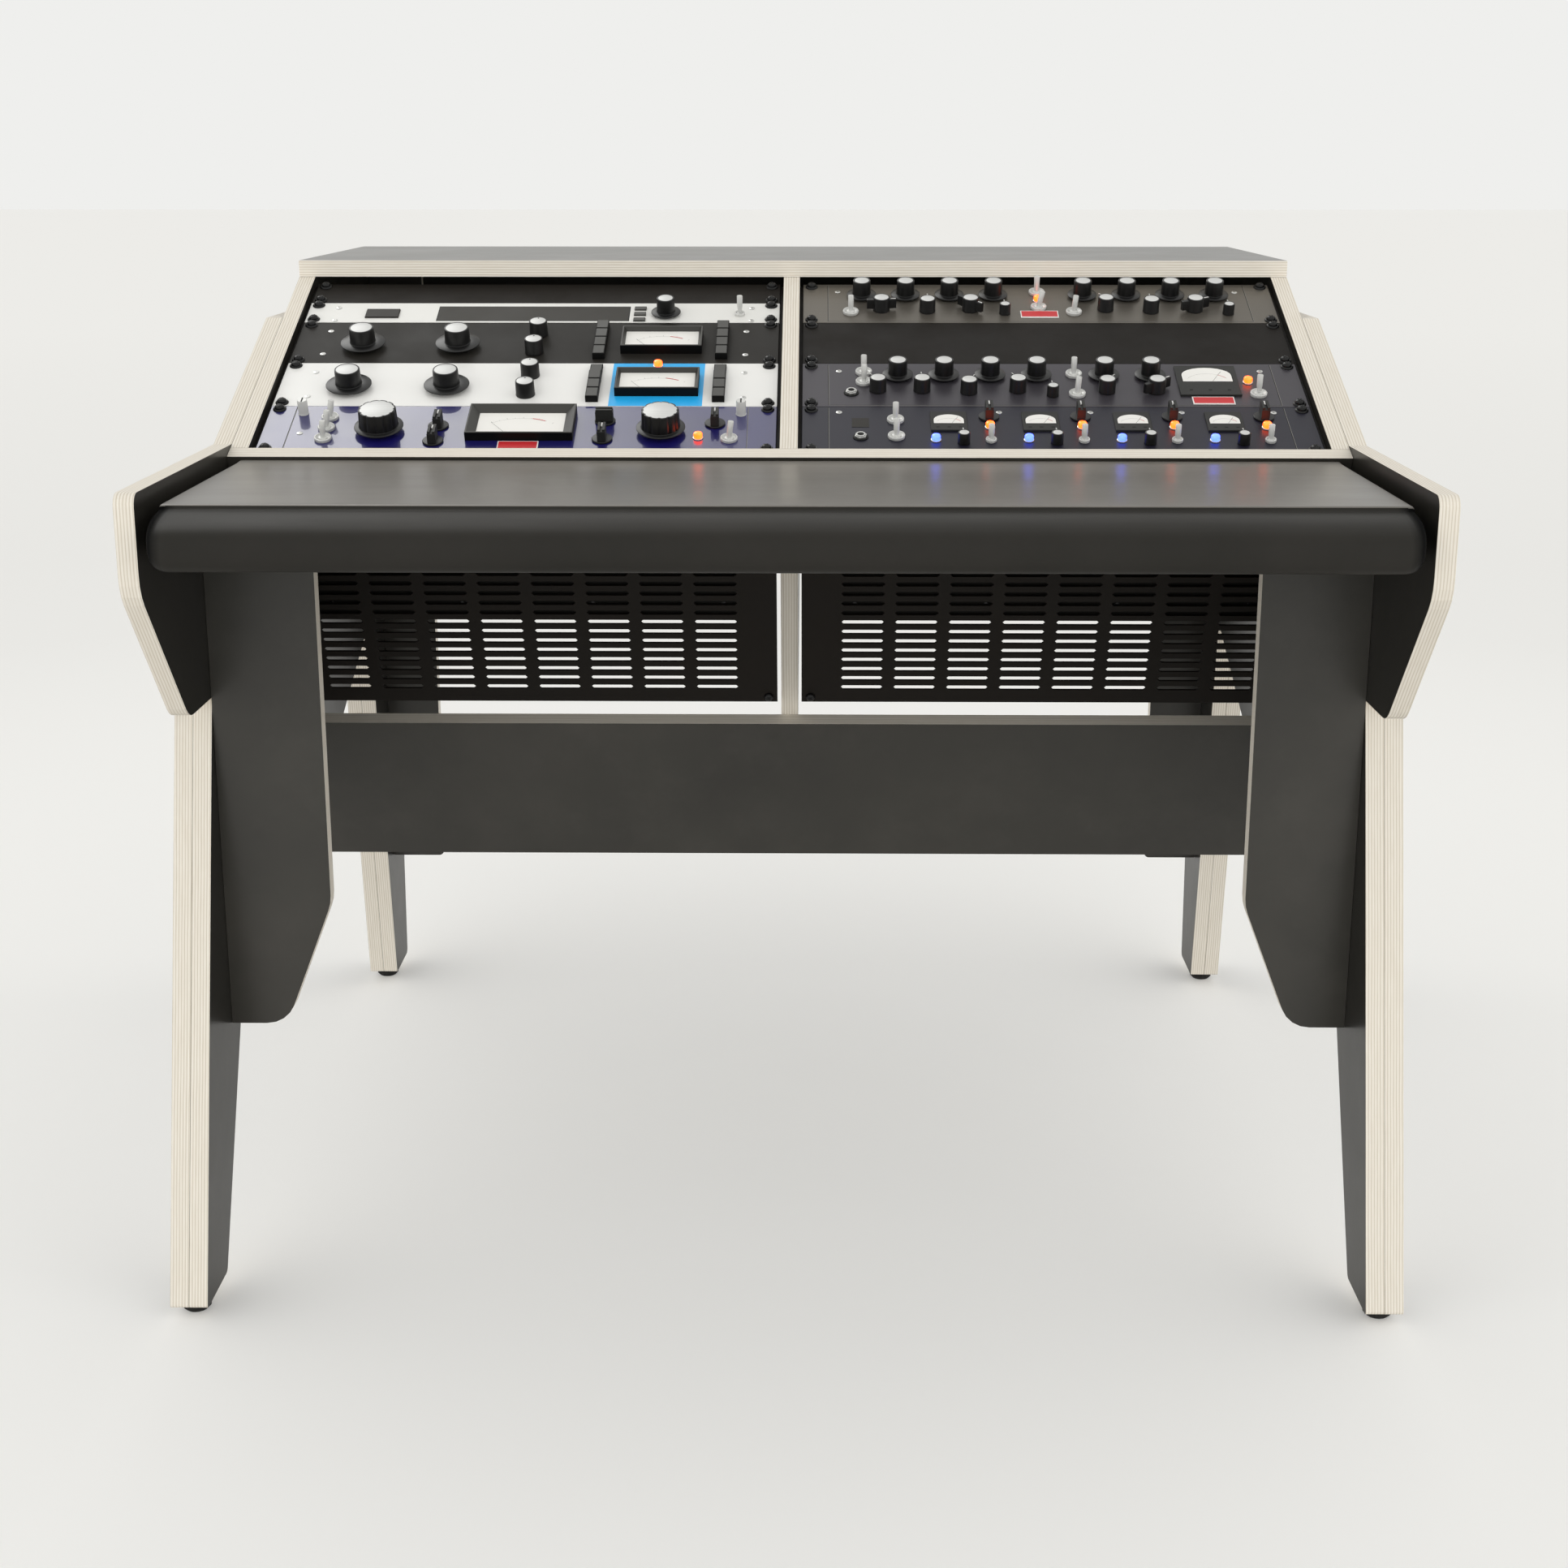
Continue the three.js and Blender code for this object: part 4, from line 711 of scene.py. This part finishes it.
def plate_meter(b, m, width, height, rise, window):
    """A flat dark plate with a white half-round window, a scale arc and a needle."""
    w, h = width / 2, height / 2
    b.box(m, (-w, -h, 0), (w, h, rise), PLATE, 0.4)
    half, base, straight, crown = window
    steps = 12
    arch = [(half, base), (half, base + straight)]
    for k in range(1, steps):
        a = math.radians(180 * k / steps)
        arch.append((half * math.cos(a), base + straight + (crown - straight) * math.sin(a)))
    arch += [(-half, base + straight), (-half, base)]
    rim = [(x * 1.045, base + (y - base) * 1.035 - 0.5) for x, y in arch]
    b.prism(m, rim, rise - 0.1, rise + 0.06, BEZEL_SIDE)
    b.prism(m, arch, rise - 0.1, rise + 0.12, PAPER)
    pivot, radius = (0, base - half * 0.3), half * 0.95
    band(b, m, pivot, radius, 0.2, 145, 35, rise + 0.16, PRINT)
    band(b, m, pivot, radius, 0.55, 62, 38, rise + 0.17, RED)
    foot, tip = (half * 0.2, base + 0.4), (half * 0.62, base + crown * 0.72)
    stroke(b, m, foot, tip, HAIRLINE, rise + 0.2, DARK)
    for x in (-0.62, 0, 0.62):
        b.box(m, (w * x - 1.6, -h + h * 0.28, rise), (w * x + 1.6, -h + h * 0.36, rise + 0.08), DARK)


def red_plate(b, m, half_width, half_height):
    """A blank red plate with a white border."""
    border = 1.0
    b.box(m, (-half_width, -half_height, 0), (half_width, half_height, 0.9), MARK, 0.2)
    x, y = half_width - border, half_height - border
    b.box(m, (-x, -y, 0.8), (x, y, 1.0), RED)


# The rack equipment, from the top of each bay down
UNITS = {
    -1: [
        ("blank_panel_1u", 1), ("monitor_controller", 1), ("compressor_black", 2), ("compressor_silver", 2),
        ("limiter_blue", 2),
    ],
    1: [("equaliser", 2), ("blank_panel_2u", 2), ("channel_strip", 2), ("quad_dynamics", 2)],
}
CHANNEL_STEP = 0.179


def each_channel(across, *rest):
    """The same spot in each of the four channels."""
    return [(across + k * CHANNEL_STEP, *rest) for k in range(4)]


# Centres of the fixed controls in shares of the panel, and their turn in degrees
SHARES = {
    "monitor_controller": {"screw": [(0.063, 0.739), (0.063, 0.095), (0.941, 0.73), (0.941, 0.085)]},
    "compressor_black": {
        "dotted": [(0.5, 0.7), (0.498, 0.26)],
        "screw": [(0.064, 0.776), (0.064, 0.21), (0.932, 0.775), (0.932, 0.2)],
    },
    "compressor_silver": {
        "dotted": [(0.5, 0.7), (0.498, 0.26)],
        "screw": [(0.064, 0.776), (0.064, 0.21), (0.932, 0.775), (0.932, 0.2)],
        "amber": [(0.756, 0.94)],
    },
    "limiter_blue": {
        "pointer": [(0.341, 0.55, 0), (0.338, 0.22, 0), (0.665, 0.66, 90), (0.664, 0.27, 0), (0.88, 0.61, 0)],
        "toggle": [(0.1245, 0.731, 8), (0.124, 0.5, 6), (0.124, 0.27, 3), (0.909, 0.275, 8)],
        "post": [(0.069, 0.83), (0.93, 0.83)],
        "screw": [(0.075, 0.396)],
        "amber": [(0.849, 0.306)],
    },
    "equaliser": {
        "wing": [(0.166, 0.33, 4), (0.354, 0.33, -40), (0.828, 0.33, 19)],
        "pinned": [(0.263, 0.3, 0), (0.64, 0.34, 38), (0.735, 0.3, 8)],
        "small": [(0.426, 0.24), (0.897, 0.24)],
        "toggle": [(0.101, 0.258, 0), (0.5, 0.775, 0), (0.499, 0.38, 14), (0.572, 0.26, 6)],
        "screw": [(0.074, 0.798), (0.924, 0.795)],
        "amber": [(0.5, 0.57)],
    },
    "channel_strip": {
        "pinned": [
            (0.151, 0.37, 45), (0.239, 0.37, 4), (0.332, 0.33, -30), (0.43, 0.37, 32), (0.607, 0.35, -40),
        ],
        "wing": [(0.706, 0.35, 33)],
        "small": [(0.498, 0.26)],
        "toggle": [(0.124, 0.78, 0), (0.124, 0.55, 0), (0.547, 0.735, 0), (0.547, 0.275, 4)],
        "jack": [(0.098, 0.31)],
        "screw": [(0.074, 0.814), (0.924, 0.82)],
        "amber": [(0.893, 0.565)],
    },
    "quad_dynamics": {
        "blue": each_channel(0.259, 0.27),
        "amber": each_channel(0.366, 0.55),
        "small": each_channel(0.312, 0.21),
        "pointer": each_channel(0.366, 0.77, 0),
        "small_toggle": each_channel(0.365, 0.253),
        "toggle": [(0.183, 0.695, 0), (0.183, 0.335, 0)],
        "jack": [(0.114, 0.33)],
        "screw": [(0.073, 0.875), (0.387, 0.875), (0.566, 0.875), (0.745, 0.875), (0.925, 0.875)],
    },
}


def unit_places():
    """Each unit's name, height and matrix (lower left corner of its face, millimetres)."""
    for side, stack in UNITS.items():
        used = 0
        for name, units in stack:
            used += units
            height = units * RACK_UNIT - PANEL_TRIM
            corner = (
                side * BAY_CENTRE_X - PANEL_WIDTH / 2,
                BAY_CLEARANCE + (BAY_UNITS - used) * RACK_UNIT + PANEL_TRIM / 2,
                -PANEL_RECESS,
            )
            yield name, height, RACK @ Matrix.Translation(corner)


def groove(b, m, points, width=0.7):
    """A thin engraved line, drawn flat just above the face: a dark stroke of painted shade in the groove, and
    beside it a light one, a painted highlight on its edge.
    """
    offset = 0.5
    for start, end in zip(points, points[1:]):
        stroke(b, m, start, end, width, 0.06, DARK)
        beside = [(x + offset, y - offset) for x, y in (start, end)]
        stroke(b, m, *beside, 0.35, 0.07, PRINT)


def face_panel(name, height, m):
    material, slot = PANELS[name]
    b = Build()
    b.box(m, (0, 0, -FACEPLATE), (PANEL_WIDTH, height, 0), material, 0.35)
    b.done(name + "_panel", replaces=(name,))


def spread(first, last, count):
    """Evenly spaced numbers from first to last."""
    return [first + (last - first) * k / (count - 1) for k in range(count)]


FLANGE = 1.5
FLANGE_DEPTH = 14
CASE_SCREW_INSET, CASE_SCREW_DEPTH = 30, 14
REAR_PLATE_INSET, REAR_PLATE_WIDTH, REAR_PLATE_HEIGHT = 60, 26, 22


def chassis(name, height, m, blank):
    """The case behind a unit's panel, or the folded flanges behind a blank panel."""
    b = Build()
    left = (PANEL_WIDTH - CHASSIS_WIDTH) / 2
    right = left + CHASSIS_WIDTH
    low, high, back = CHASSIS_MARGIN, height - CHASSIS_MARGIN, FACEPLATE + CHASSIS_DEPTH
    if blank:
        for y in (low, high - FLANGE):
            b.box(m, (left, y, -FACEPLATE - FLANGE_DEPTH), (right, y + FLANGE, -FACEPLATE / 2), STEEL)
    else:
        turned = m @ Matrix.Rotation(math.pi, 4, "X") @ Matrix.Translation((0, -low - high, 0))
        b.box(turned, (left, low, FACEPLATE - 0.2), (right, high, back), CHASSIS, 0.8)
        for y, direction in ((low + 0.1, 90), (high - 0.1, -90)):
            outward = Matrix.Rotation(math.radians(direction), 4, "X")
            for x in spread(left + CASE_SCREW_INSET, right - CASE_SCREW_INSET, 4):
                spot = m @ at(x, y, CASE_SCREW_DEPTH - back) @ outward
                b.lathe(spot, [(2.6, -0.2), (2.5, 0.4), (1.7, 0.8), (0, 0.9)], SCREW, 14)
        w, h, middle = REAR_PLATE_WIDTH / 2, REAR_PLATE_HEIGHT / 2, (low + high) / 2
        for x in spread(left + REAR_PLATE_INSET, right - REAR_PLATE_INSET, 3):
            b.box(turned, (x - w, middle - h, back), (x + w, middle + h, back + 0.3), BEZEL, 0.1)
    b.done(name + "_chassis")


# A unit's fixed controls by piece: end of its name, material slot, and how each kind is drawn
CONTROLS = (
    ("_knobs", "knob_black", {
        "dotted": lambda b, m: plain_knob(b, m, 9.3, 15.5, dot=True),
        "pinned": lambda b, m, pin: plain_knob(b, m, 8.3, 14.5, pin=pin),
        "small": lambda b, m: plain_knob(b, m, 5.9, 11.5, pin=5),
        "wing": wing_knob,
        "pointer": pointer_knob,
    }),
    ("_metal", "bright_metal", {
        "toggle": toggle,
        "small_toggle": small_toggle,
        "jack": jack,
        "screw": small_screw,
        "post": post,
    }),
    ("_lamps", None, {
        "amber": lambda b, m: lamp(b, m, AMBER),
        "blue": lambda b, m: lamp(b, m, BLUE),
    }),
)


def unit_details(name, height, m):
    for suffix, slot, kinds in CONTROLS:
        b = Build()
        for kind, draw in kinds.items():
            for across, up, *rest in SHARES.get(name, {}).get(kind, []):
                draw(b, m @ at(across * PANEL_WIDTH, up * height), *rest)
        b.done(name + suffix)


# Width, height, rise, rim, bevel and its drop, and the red arc's ends in degrees
COMPRESSOR_METER = (80.5, 43, 9.5, 1.6, 2.4, 4.2, (79, 61))
LIMITER_METER = (100.5, 56.5, 9, 1.4, 8.0, 5.0, (78, 62))
# Width, height, rise, and the window's half width, base, straight part and crown
STRIP_METER = (58.7, 59.5, 2.2, (24.0, -3.0, 13.0, 28.0))
CHANNEL_METER = (34.4, 35.7, 2.0, (14.2, -5.0, 6.5, 17.0))


def faces_and_meters(name, height, m):
    """The printed fields, lines, meters, keys and plates of a unit, placed by shares of its panel."""
    b = Build()
    width = PANEL_WIDTH

    def spot(across, up):
        return m @ at(across * width, up * height)

    def field(left, bottom, right, top, rise, material):
        b.box(m, (left * width, bottom * height, -0.1), (right * width, top * height, rise), material)

    def engrave(*shares, thickness=0.7):
        groove(b, m, [(across * width, up * height) for across, up in shares], thickness)

    if name == "monitor_controller":
        field(0.2765, 0.068, 0.6835, 0.827, 0.1, BEZEL_SIDE)
        field(0.2785, 0.088, 0.6815, 0.807, 0.16, SCREEN)
        for up in (0.123, 0.411, 0.691):
            b.box(spot(0.705, up), (-6, -3.4, 0), (6, 3.4, 1.6), BEZEL, 0.4)
        b.box(spot(0.16, 0.42), (-17, -9, 0), (17, 9, 1.8), BADGE, 0.5)
        bush(b, spot(0.916, 0.4), SMALL_BUSH)
    elif name in ("compressor_black", "compressor_silver"):
        pressed = None
        if name == "compressor_silver":
            field(0.6655, 0.004, 0.8515, 0.996, 0.1, BLUE_PRINT)
            pressed = 3
        for across in (0.632, 0.883):
            keys(b, m, across * width, 0.085 * height, 0.925 * height, pressed)
        framed_meter(b, spot(0.759, 0.47), *COMPRESSOR_METER)
    elif name == "limiter_blue":
        framed_meter(b, spot(0.503, 0.5625), *LIMITER_METER)
        red_plate(b, m @ at(0.503 * width, 12.05), 19.0, 7.25)
        engrave((0.052, 0.99), (0.052, 0.05), (0.943, 0.05))
        engrave((0.943, 0.05), (0.943, 0.99), thickness=0.3)
    elif name == "equaliser":
        engrave((0.053, 0.975), (0.053, 0.035), (0.945, 0.035), (0.945, 0.975))
        red_plate(b, m @ at(0.499 * width, 18.6), 19.2, 7.2)
    elif name == "channel_strip":
        plate_meter(b, spot(0.8125, 0.574), *STRIP_METER)
        red_plate(b, m @ at(0.8145 * width, 11.9), 20.0, 7.0)
        engrave((0.052, 0.975), (0.053, 0.03), (0.946, 0.03), (0.947, 0.975))
        bush(b, spot(0.907, 0.28), BUSH)
    elif name == "quad_dynamics":
        for across, up in each_channel(0.2865, 0.655):
            plate_meter(b, spot(across, up), *CHANNEL_METER)
        engrave((0.052, 0.985), (0.052, 0.02))
        engrave((0.947, 0.02), (0.947, 0.985))
        field(0.0975, 0.546, 0.131, 0.745, 0.25, BADGE)
    b.done(name + "_face")


# The screws stop at angles that look random and are the same in every render
screws = Build()
for name, height, matrix in unit_places():
    face_panel(name, height, matrix)
    chassis(name, height, matrix, name.startswith("blank"))
    unit_details(name, height, matrix)
    faces_and_meters(name, height, matrix)
    for x in EAR_HOLES_ACROSS:
        for y in (EAR_HOLE_EDGE, height - EAR_HOLE_EDGE):
            rack_screw(screws, matrix @ at(x, y), (x + 37 * y) % 80)

# The screws of the vent panels, which hang square to the slope of the racks
VENT_DROP = 108.8
VENT_HEIGHT = 4 * RACK_UNIT - PANEL_TRIM
VENT_FACE = 1.2
VENT_TURN = Matrix.Rotation(math.radians(90), 4, "X")
for side in (-1, 1):
    left = side * BAY_CENTRE_X - PANEL_WIDTH / 2
    for x in EAR_HOLES_ACROSS:
        for z in (EAR_HOLE_EDGE, VENT_HEIGHT - EAR_HOLE_EDGE):
            place = RACK @ at(left + x, VENT_FACE, -VENT_DROP - z) @ VENT_TURN
            rack_screw(screws, place, (x + 11 * z) % 80, washer=False)
screws.done("rack_screws")


# Moving knobs and levers stand on the pivots of their joints.
# Radius of the skirt and of the cap, height, lift of the skirt, segments, flutes
SMALL_KNOB = (15.0, 9.3, 18.5, 2.2, 40, 0)
KNOB_FORMS = {
    "compressor": (22.0, 12.6, 21.0, 4.2, 48, 0),
    "limiter": (23.0, 18.3, 23.0, 4.4, 60, 12),
    "equaliser": SMALL_KNOB,
    "channel": SMALL_KNOB,
    "monitor": SMALL_KNOB,
}
TURN = Matrix.Rotation(RACK_TILT, 4, "X") @ Matrix.Scale(MM, 4)
for joint in frame["joints"]:
    child = joint["child"]
    pivot = Matrix.Translation(joint["pos_m"]) @ TURN
    b = Build()
    if "_toggle" in child:
        lever(b, pivot, 15.0, 12, base=0.0)
        b.done(child + "_lever", child, (child,))
    else:
        unit = child.split("_")[0]
        knob(b, pivot, *KNOB_FORMS[unit])
        b.done(child + "_turned", child, (child,))


# Worktop pad, in metres
PAD_LOW, PAD_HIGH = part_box("worktop_pad")
PAD_END = 0.503
PAD_STEP = 0.010
PAD_LIP = 0.0571
PAD_CORNER = 0.015
PAD_CORNER_HEIGHT = 0.028
PAD_LOWER_RADIUS = 0.013
PAD_TOP_CORNER = 0.0022
PAD_TOP_DEPTH = 0.012
PAD_END_SEAM = 0.005
PAD_SWELL = 0.0011
# Distances from the end at which the grid has a ring, denser where it is rounded
PAD_END_RINGS = (0.0, 0.0003, 0.001, 0.0022, 0.004, 0.0065, 0.010, 0.015, 0.022)
# Millimetres back from the front and down from the top, over the lip and under it
PAD_ROLL = (
    (9.0, 13.2), (15.0, 10.6), (22.0, 8.5), (30.0, 6.9), (38.0, 5.7), (46.0, 4.8), (52.0, 4.2), (54.4, 3.7),
    (55.4, 2.9), (56.0, 1.9), (56.6, 1.0), (57.6, 0.3), (59.5, 0.0),
)
PAD_ROLL_FRONT = ((0.0, 27.0), (0.5, 23.0), (2.0, 19.2), (5.0, 15.8))
PAD_SEWN_FROM = 50


def even(start, end, step):
    """Points from start towards end, the last one left out."""
    count = max(1, round(math.dist(start, end) / step))
    return [tuple(a + (b - a) * k / count for a, b in zip(start, end)) for k in range(count)]


def pad_profile():
    """Side view of the pad, (y, z, sewn), from the lower rear corner forward and back over the top."""
    front, rear = PAD_LOW.y + 0.0006, PAD_HIGH.y
    base, top = PAD_LOW.z, PAD_HIGH.z - PAD_SWELL
    lower = PAD_LOWER_RADIUS
    points = [(y, z, True) for y, z in even((rear - 0.004, base), (front + lower, base), 2 * PAD_STEP)]
    for k in range(6):
        a = math.radians(90 * k / 5)
        points.append((front + lower * (1 - math.sin(a)), base + lower * (1 - math.cos(a)), k < 2))
    for back, drop in PAD_ROLL_FRONT + PAD_ROLL:
        points.append((front + back * MM, top - drop * MM, back > PAD_SEWN_FROM))
    points += [(y, z, False) for y, z in even((front + 0.064, top), (rear - 0.006, top), PAD_STEP)]
    rear_edge = (
        (rear - 0.006, top + 0.0004), (rear - 0.0012, top + 0.0009), (rear - 0.0002, top + 0.0002),
        (rear, top - 0.004), (rear, (top + base) / 2), (rear, base + 0.004),
    )
    return points + [(y, z, True) for y, z in rear_edge]


def rounding(distance, radius):
    """How far a round corner falls back at a distance from the end."""
    return radius - math.sqrt(max(0.0, radius ** 2 - max(0.0, radius - distance) ** 2))


def fade(distance, reach):
    """1 at no distance, falling to 0 at the reach."""
    return max(0.0, 1 - distance / reach)


def make_pad():
    """An even grid of the profile along X, rounded at the ends, with its held rows in a group."""
    profile = pad_profile()
    ends = [distance - PAD_END for distance in PAD_END_RINGS]
    middle = [x for (x,) in even((ends[-1] + PAD_STEP,), (-ends[-1],), PAD_STEP)]
    bm = bmesh.new()
    rings, sewn = [], []
    for x in ends + middle + [-x for x in reversed(ends)]:
        distance = PAD_END - abs(x)
        corner = rounding(distance, PAD_CORNER)
        down = rounding(distance, PAD_TOP_CORNER)
        ring = []
        for y, z, is_sewn in profile:
            forward = fade(y - PAD_LOW.y, PAD_LIP)
            low = fade(z - PAD_LOW.z, PAD_CORNER_HEIGHT)
            high = fade(PAD_HIGH.z - z, PAD_TOP_DEPTH)
            ring.append(bm.verts.new((x, y + corner * forward, z + corner * low - down * high)))
            sewn.append(is_sewn or distance < PAD_END_SEAM)
        rings.append(ring)
    count = len(profile)
    for a, c in zip(rings, rings[1:]):
        for k in range(count):
            n = (k + 1) % count
            bm.faces.new((a[k], c[k], c[n], a[n]))
    bm.faces.new(rings[0])
    bm.faces.new(reversed(rings[-1]))
    bmesh.ops.recalc_face_normals(bm, faces=bm.faces)
    mesh = bpy.data.meshes.new("worktop_pad_cover")
    bm.to_mesh(mesh)
    bm.free()
    piece = bpy.data.objects.new("worktop_pad_cover", mesh)
    bpy.context.scene.collection.objects.link(piece)
    piece.vertex_groups.new(name="sewn").add([k for k, held in enumerate(sewn) if held], 1.0, "REPLACE")
    return piece


def apply_modifiers(piece):
    """Keeps the shape that the modifiers make and removes them."""
    depsgraph = bpy.context.evaluated_depsgraph_get()
    mesh = bpy.data.meshes.new_from_object(piece.evaluated_get(depsgraph))
    piece.modifiers.clear()
    piece.data = mesh


CLOTH = {
    "quality": 4,
    "mass": 0.3,
    "tension_stiffness": 40,
    "compression_stiffness": 40,
    "bending_stiffness": 4,
    "use_pressure": True,
    "uniform_pressure_force": 4,
    "vertex_group_mass": "sewn",
}
CLOTH_FRAMES = 20


def swell(piece):
    """Lets the cover bulge between its seams under the pressure of the foam, scaled to the swell."""
    start = [vertex.co.copy() for vertex in piece.data.vertices]
    cloth = piece.modifiers.new("cloth", "CLOTH")
    for key, value in CLOTH.items():
        setattr(cloth.settings, key, value)
    cloth.settings.effector_weights.gravity = 0
    cloth.collision_settings.use_collision = False
    scene = bpy.context.scene
    for number in range(1, CLOTH_FRAMES + 1):
        scene.frame_set(number)
    apply_modifiers(piece)
    scene.frame_set(1)
    moves = [vertex.co - origin for vertex, origin in zip(piece.data.vertices, start)]
    share = min(1.0, PAD_SWELL / max(move.length for move in moves))
    for vertex, origin, move in zip(piece.data.vertices, start, moves):
        vertex.co = origin + move * share


pad = make_pad()
swell(pad)
subdivide = pad.modifiers.new("subdivide", "SUBSURF")
subdivide.levels = 1
subdivide.render_levels = 1
apply_modifiers(pad)
pad_limits = ((-PAD_END, PAD_END), (PAD_LOW.y, PAD_HIGH.y), (PAD_LOW.z, PAD_HIGH.z))
for vertex in pad.data.vertices:
    vertex.co = [min(max(c, low), high) for c, (low, high) in zip(vertex.co, pad_limits)]

# Lit and shaded copies of one leather: round the lip painted dark for its shade, on the flat top behind it
# painted paler for the light on it, and glossier
# Where the front leather fades into painted shade at the pad's ends
PAD_PAINTED_SHADE_ENDS = (0.489, 0.499)
leathers = (
    upholstery("upholstery_front", "272623", "2f2d2a", 0.46, 0.0002, PAD_PAINTED_SHADE_ENDS, Specular_IOR_Level=0.1),
    upholstery("upholstery_top", "5a564f", "65605a", 0.33, 0.00012, Specular_IOR_Level=0.6),
)
pad.data.materials.clear()
for leather in leathers:
    pad.data.materials.append(leather)
for polygon in pad.data.polygons:
    polygon.use_smooth = True
    # Faces that look up behind the lip take the paler copy, painted light
    polygon.material_index = int(polygon.center.y > PAD_LOW.y + PAD_LIP and polygon.normal.z > 0.5)
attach(pad, "desk")
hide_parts("worktop_pad")


# Floor, light and camera
BACKDROP = "efefed"
FLOOR_SIZE = 40.0
# Painted light: the floor is paler near the desk, lifting the shade under it
FLOOR_NEAR_PAINTED_LIGHT, FLOOR_FAR = "e8e7e5", "e2e1df"
SOFTBOX = Vector((-0.38, 0.58, 0.72)).normalized()
SOFTBOX_STRENGTH = 3.1
SKY_HORIZON, SKY_ZENITH = 2.75, 0.4
MIRRORED_DIP = 0.3
CAMERA_PLACE = (0.0218, -2.3385, 1.0101)
CAMERA_PITCH, CAMERA_YAW = -15.135, 0.689
FOCAL_PIXELS, IMAGE_PIXELS = 2888, 1932
SENSOR = 36.0


def studio_floor():
    """A pale floor, painted paler near the desk, that glows a little for the camera alone, under the desk and
    toward the horizon: painted light that lifts the desk's shade, and a rise that meets the backdrop.
    """
    mesh = bpy.data.meshes.new("floor")
    corners = [(x * FLOOR_SIZE, y * FLOOR_SIZE, 0) for x, y in ((-1, -1), (1, -1), (1, 1), (-1, 1))]
    mesh.from_pydata(corners, [], [(0, 1, 2, 3)])
    floor = bpy.data.objects.new("floor", mesh)
    bpy.context.scene.collection.objects.link(floor)
    s = Shader("floor", Roughness=0.9, Specular_IOR_Level=0.0)
    away = s.add("VectorMath", {0: s.coords()}, operation="LENGTH").outputs["Value"]
    s.base(s.mix(s.span(away, 0.0, 1.0, 1.0, 4.0), rgb(FLOOR_NEAR_PAINTED_LIGHT), rgb(FLOOR_FAR)))
    s.put(s.bsdf, "Emission Color", rgb(BACKDROP))
    # Painted light for the camera: a glow near the desk lifts its shade, and a rise far out meets the
    # backdrop
    glow = s.math("ADD", s.span(away, 0.15, 0.04, 0.9, 3.0), s.span(away, 0.0, 0.04, 3.5, 12.0))
    seen = s.add("LightPath").outputs["Is Camera Ray"]
    s.put(s.bsdf, "Emission Strength", s.math("MULTIPLY", glow, seen))
    mesh.materials.append(s.material)


def studio_light():
    """A sky that is brightest at the horizon; mirrors see it even, with a dip and a softbox."""
    world = bpy.data.worlds.new("studio")
    bpy.context.scene.world = world
    world.use_nodes = True
    s = Shader.on(world.node_tree)
    path = s.add("LightPath").outputs
    direction = s.add("TexCoord").outputs["Generated"]
    height = s.add("SeparateXYZ", {0: direction}).outputs["Z"]
    mirrored = s.math("MAXIMUM", path["Is Glossy Ray"], path["Is Transmission Ray"])
    falling = s.span(height, 0.0, MIRRORED_DIP, 0.42, 0.52)
    rising = s.span(height, MIRRORED_DIP, 0.0, 0.66, 0.78)
    even_sky = s.math("SUBTRACT", 1.0, s.math("MINIMUM", falling, rising))
    sky = s.mix(mirrored, s.span(height, SKY_HORIZON, SKY_ZENITH, 0.0, 1.0), even_sky)
    values = {
        "Value": s.dot(direction, SOFTBOX), "From Min": 0.93, "From Max": 0.99,
        "To Min": 0.0, "To Max": SOFTBOX_STRENGTH,
    }
    box = s.add("MapRange", values, interpolation_type="SMOOTHSTEP").outputs[0]
    light = s.math("ADD", sky, s.math("MULTIPLY", box, mirrored))
    strength = s.mix(path["Is Camera Ray"], light, grey(1.0))
    background = s.tree.nodes["Background"]
    s.put(background, "Color", rgb(BACKDROP))
    s.put(background, "Strength", strength)


def photo_camera():
    data = bpy.data.cameras.new("camera")
    data.sensor_width = SENSOR
    data.lens = FOCAL_PIXELS / IMAGE_PIXELS * SENSOR
    data.clip_start = 0.05
    data.clip_end = 100.0
    camera = bpy.data.objects.new("camera", data)
    camera.location = CAMERA_PLACE
    camera.rotation_euler = (math.radians(90 + CAMERA_PITCH), 0.0, math.radians(CAMERA_YAW))
    bpy.context.scene.collection.objects.link(camera)
    bpy.context.scene.camera = camera


studio_floor()
studio_light()
photo_camera()
bpy.context.scene.view_settings.view_transform = "Standard"
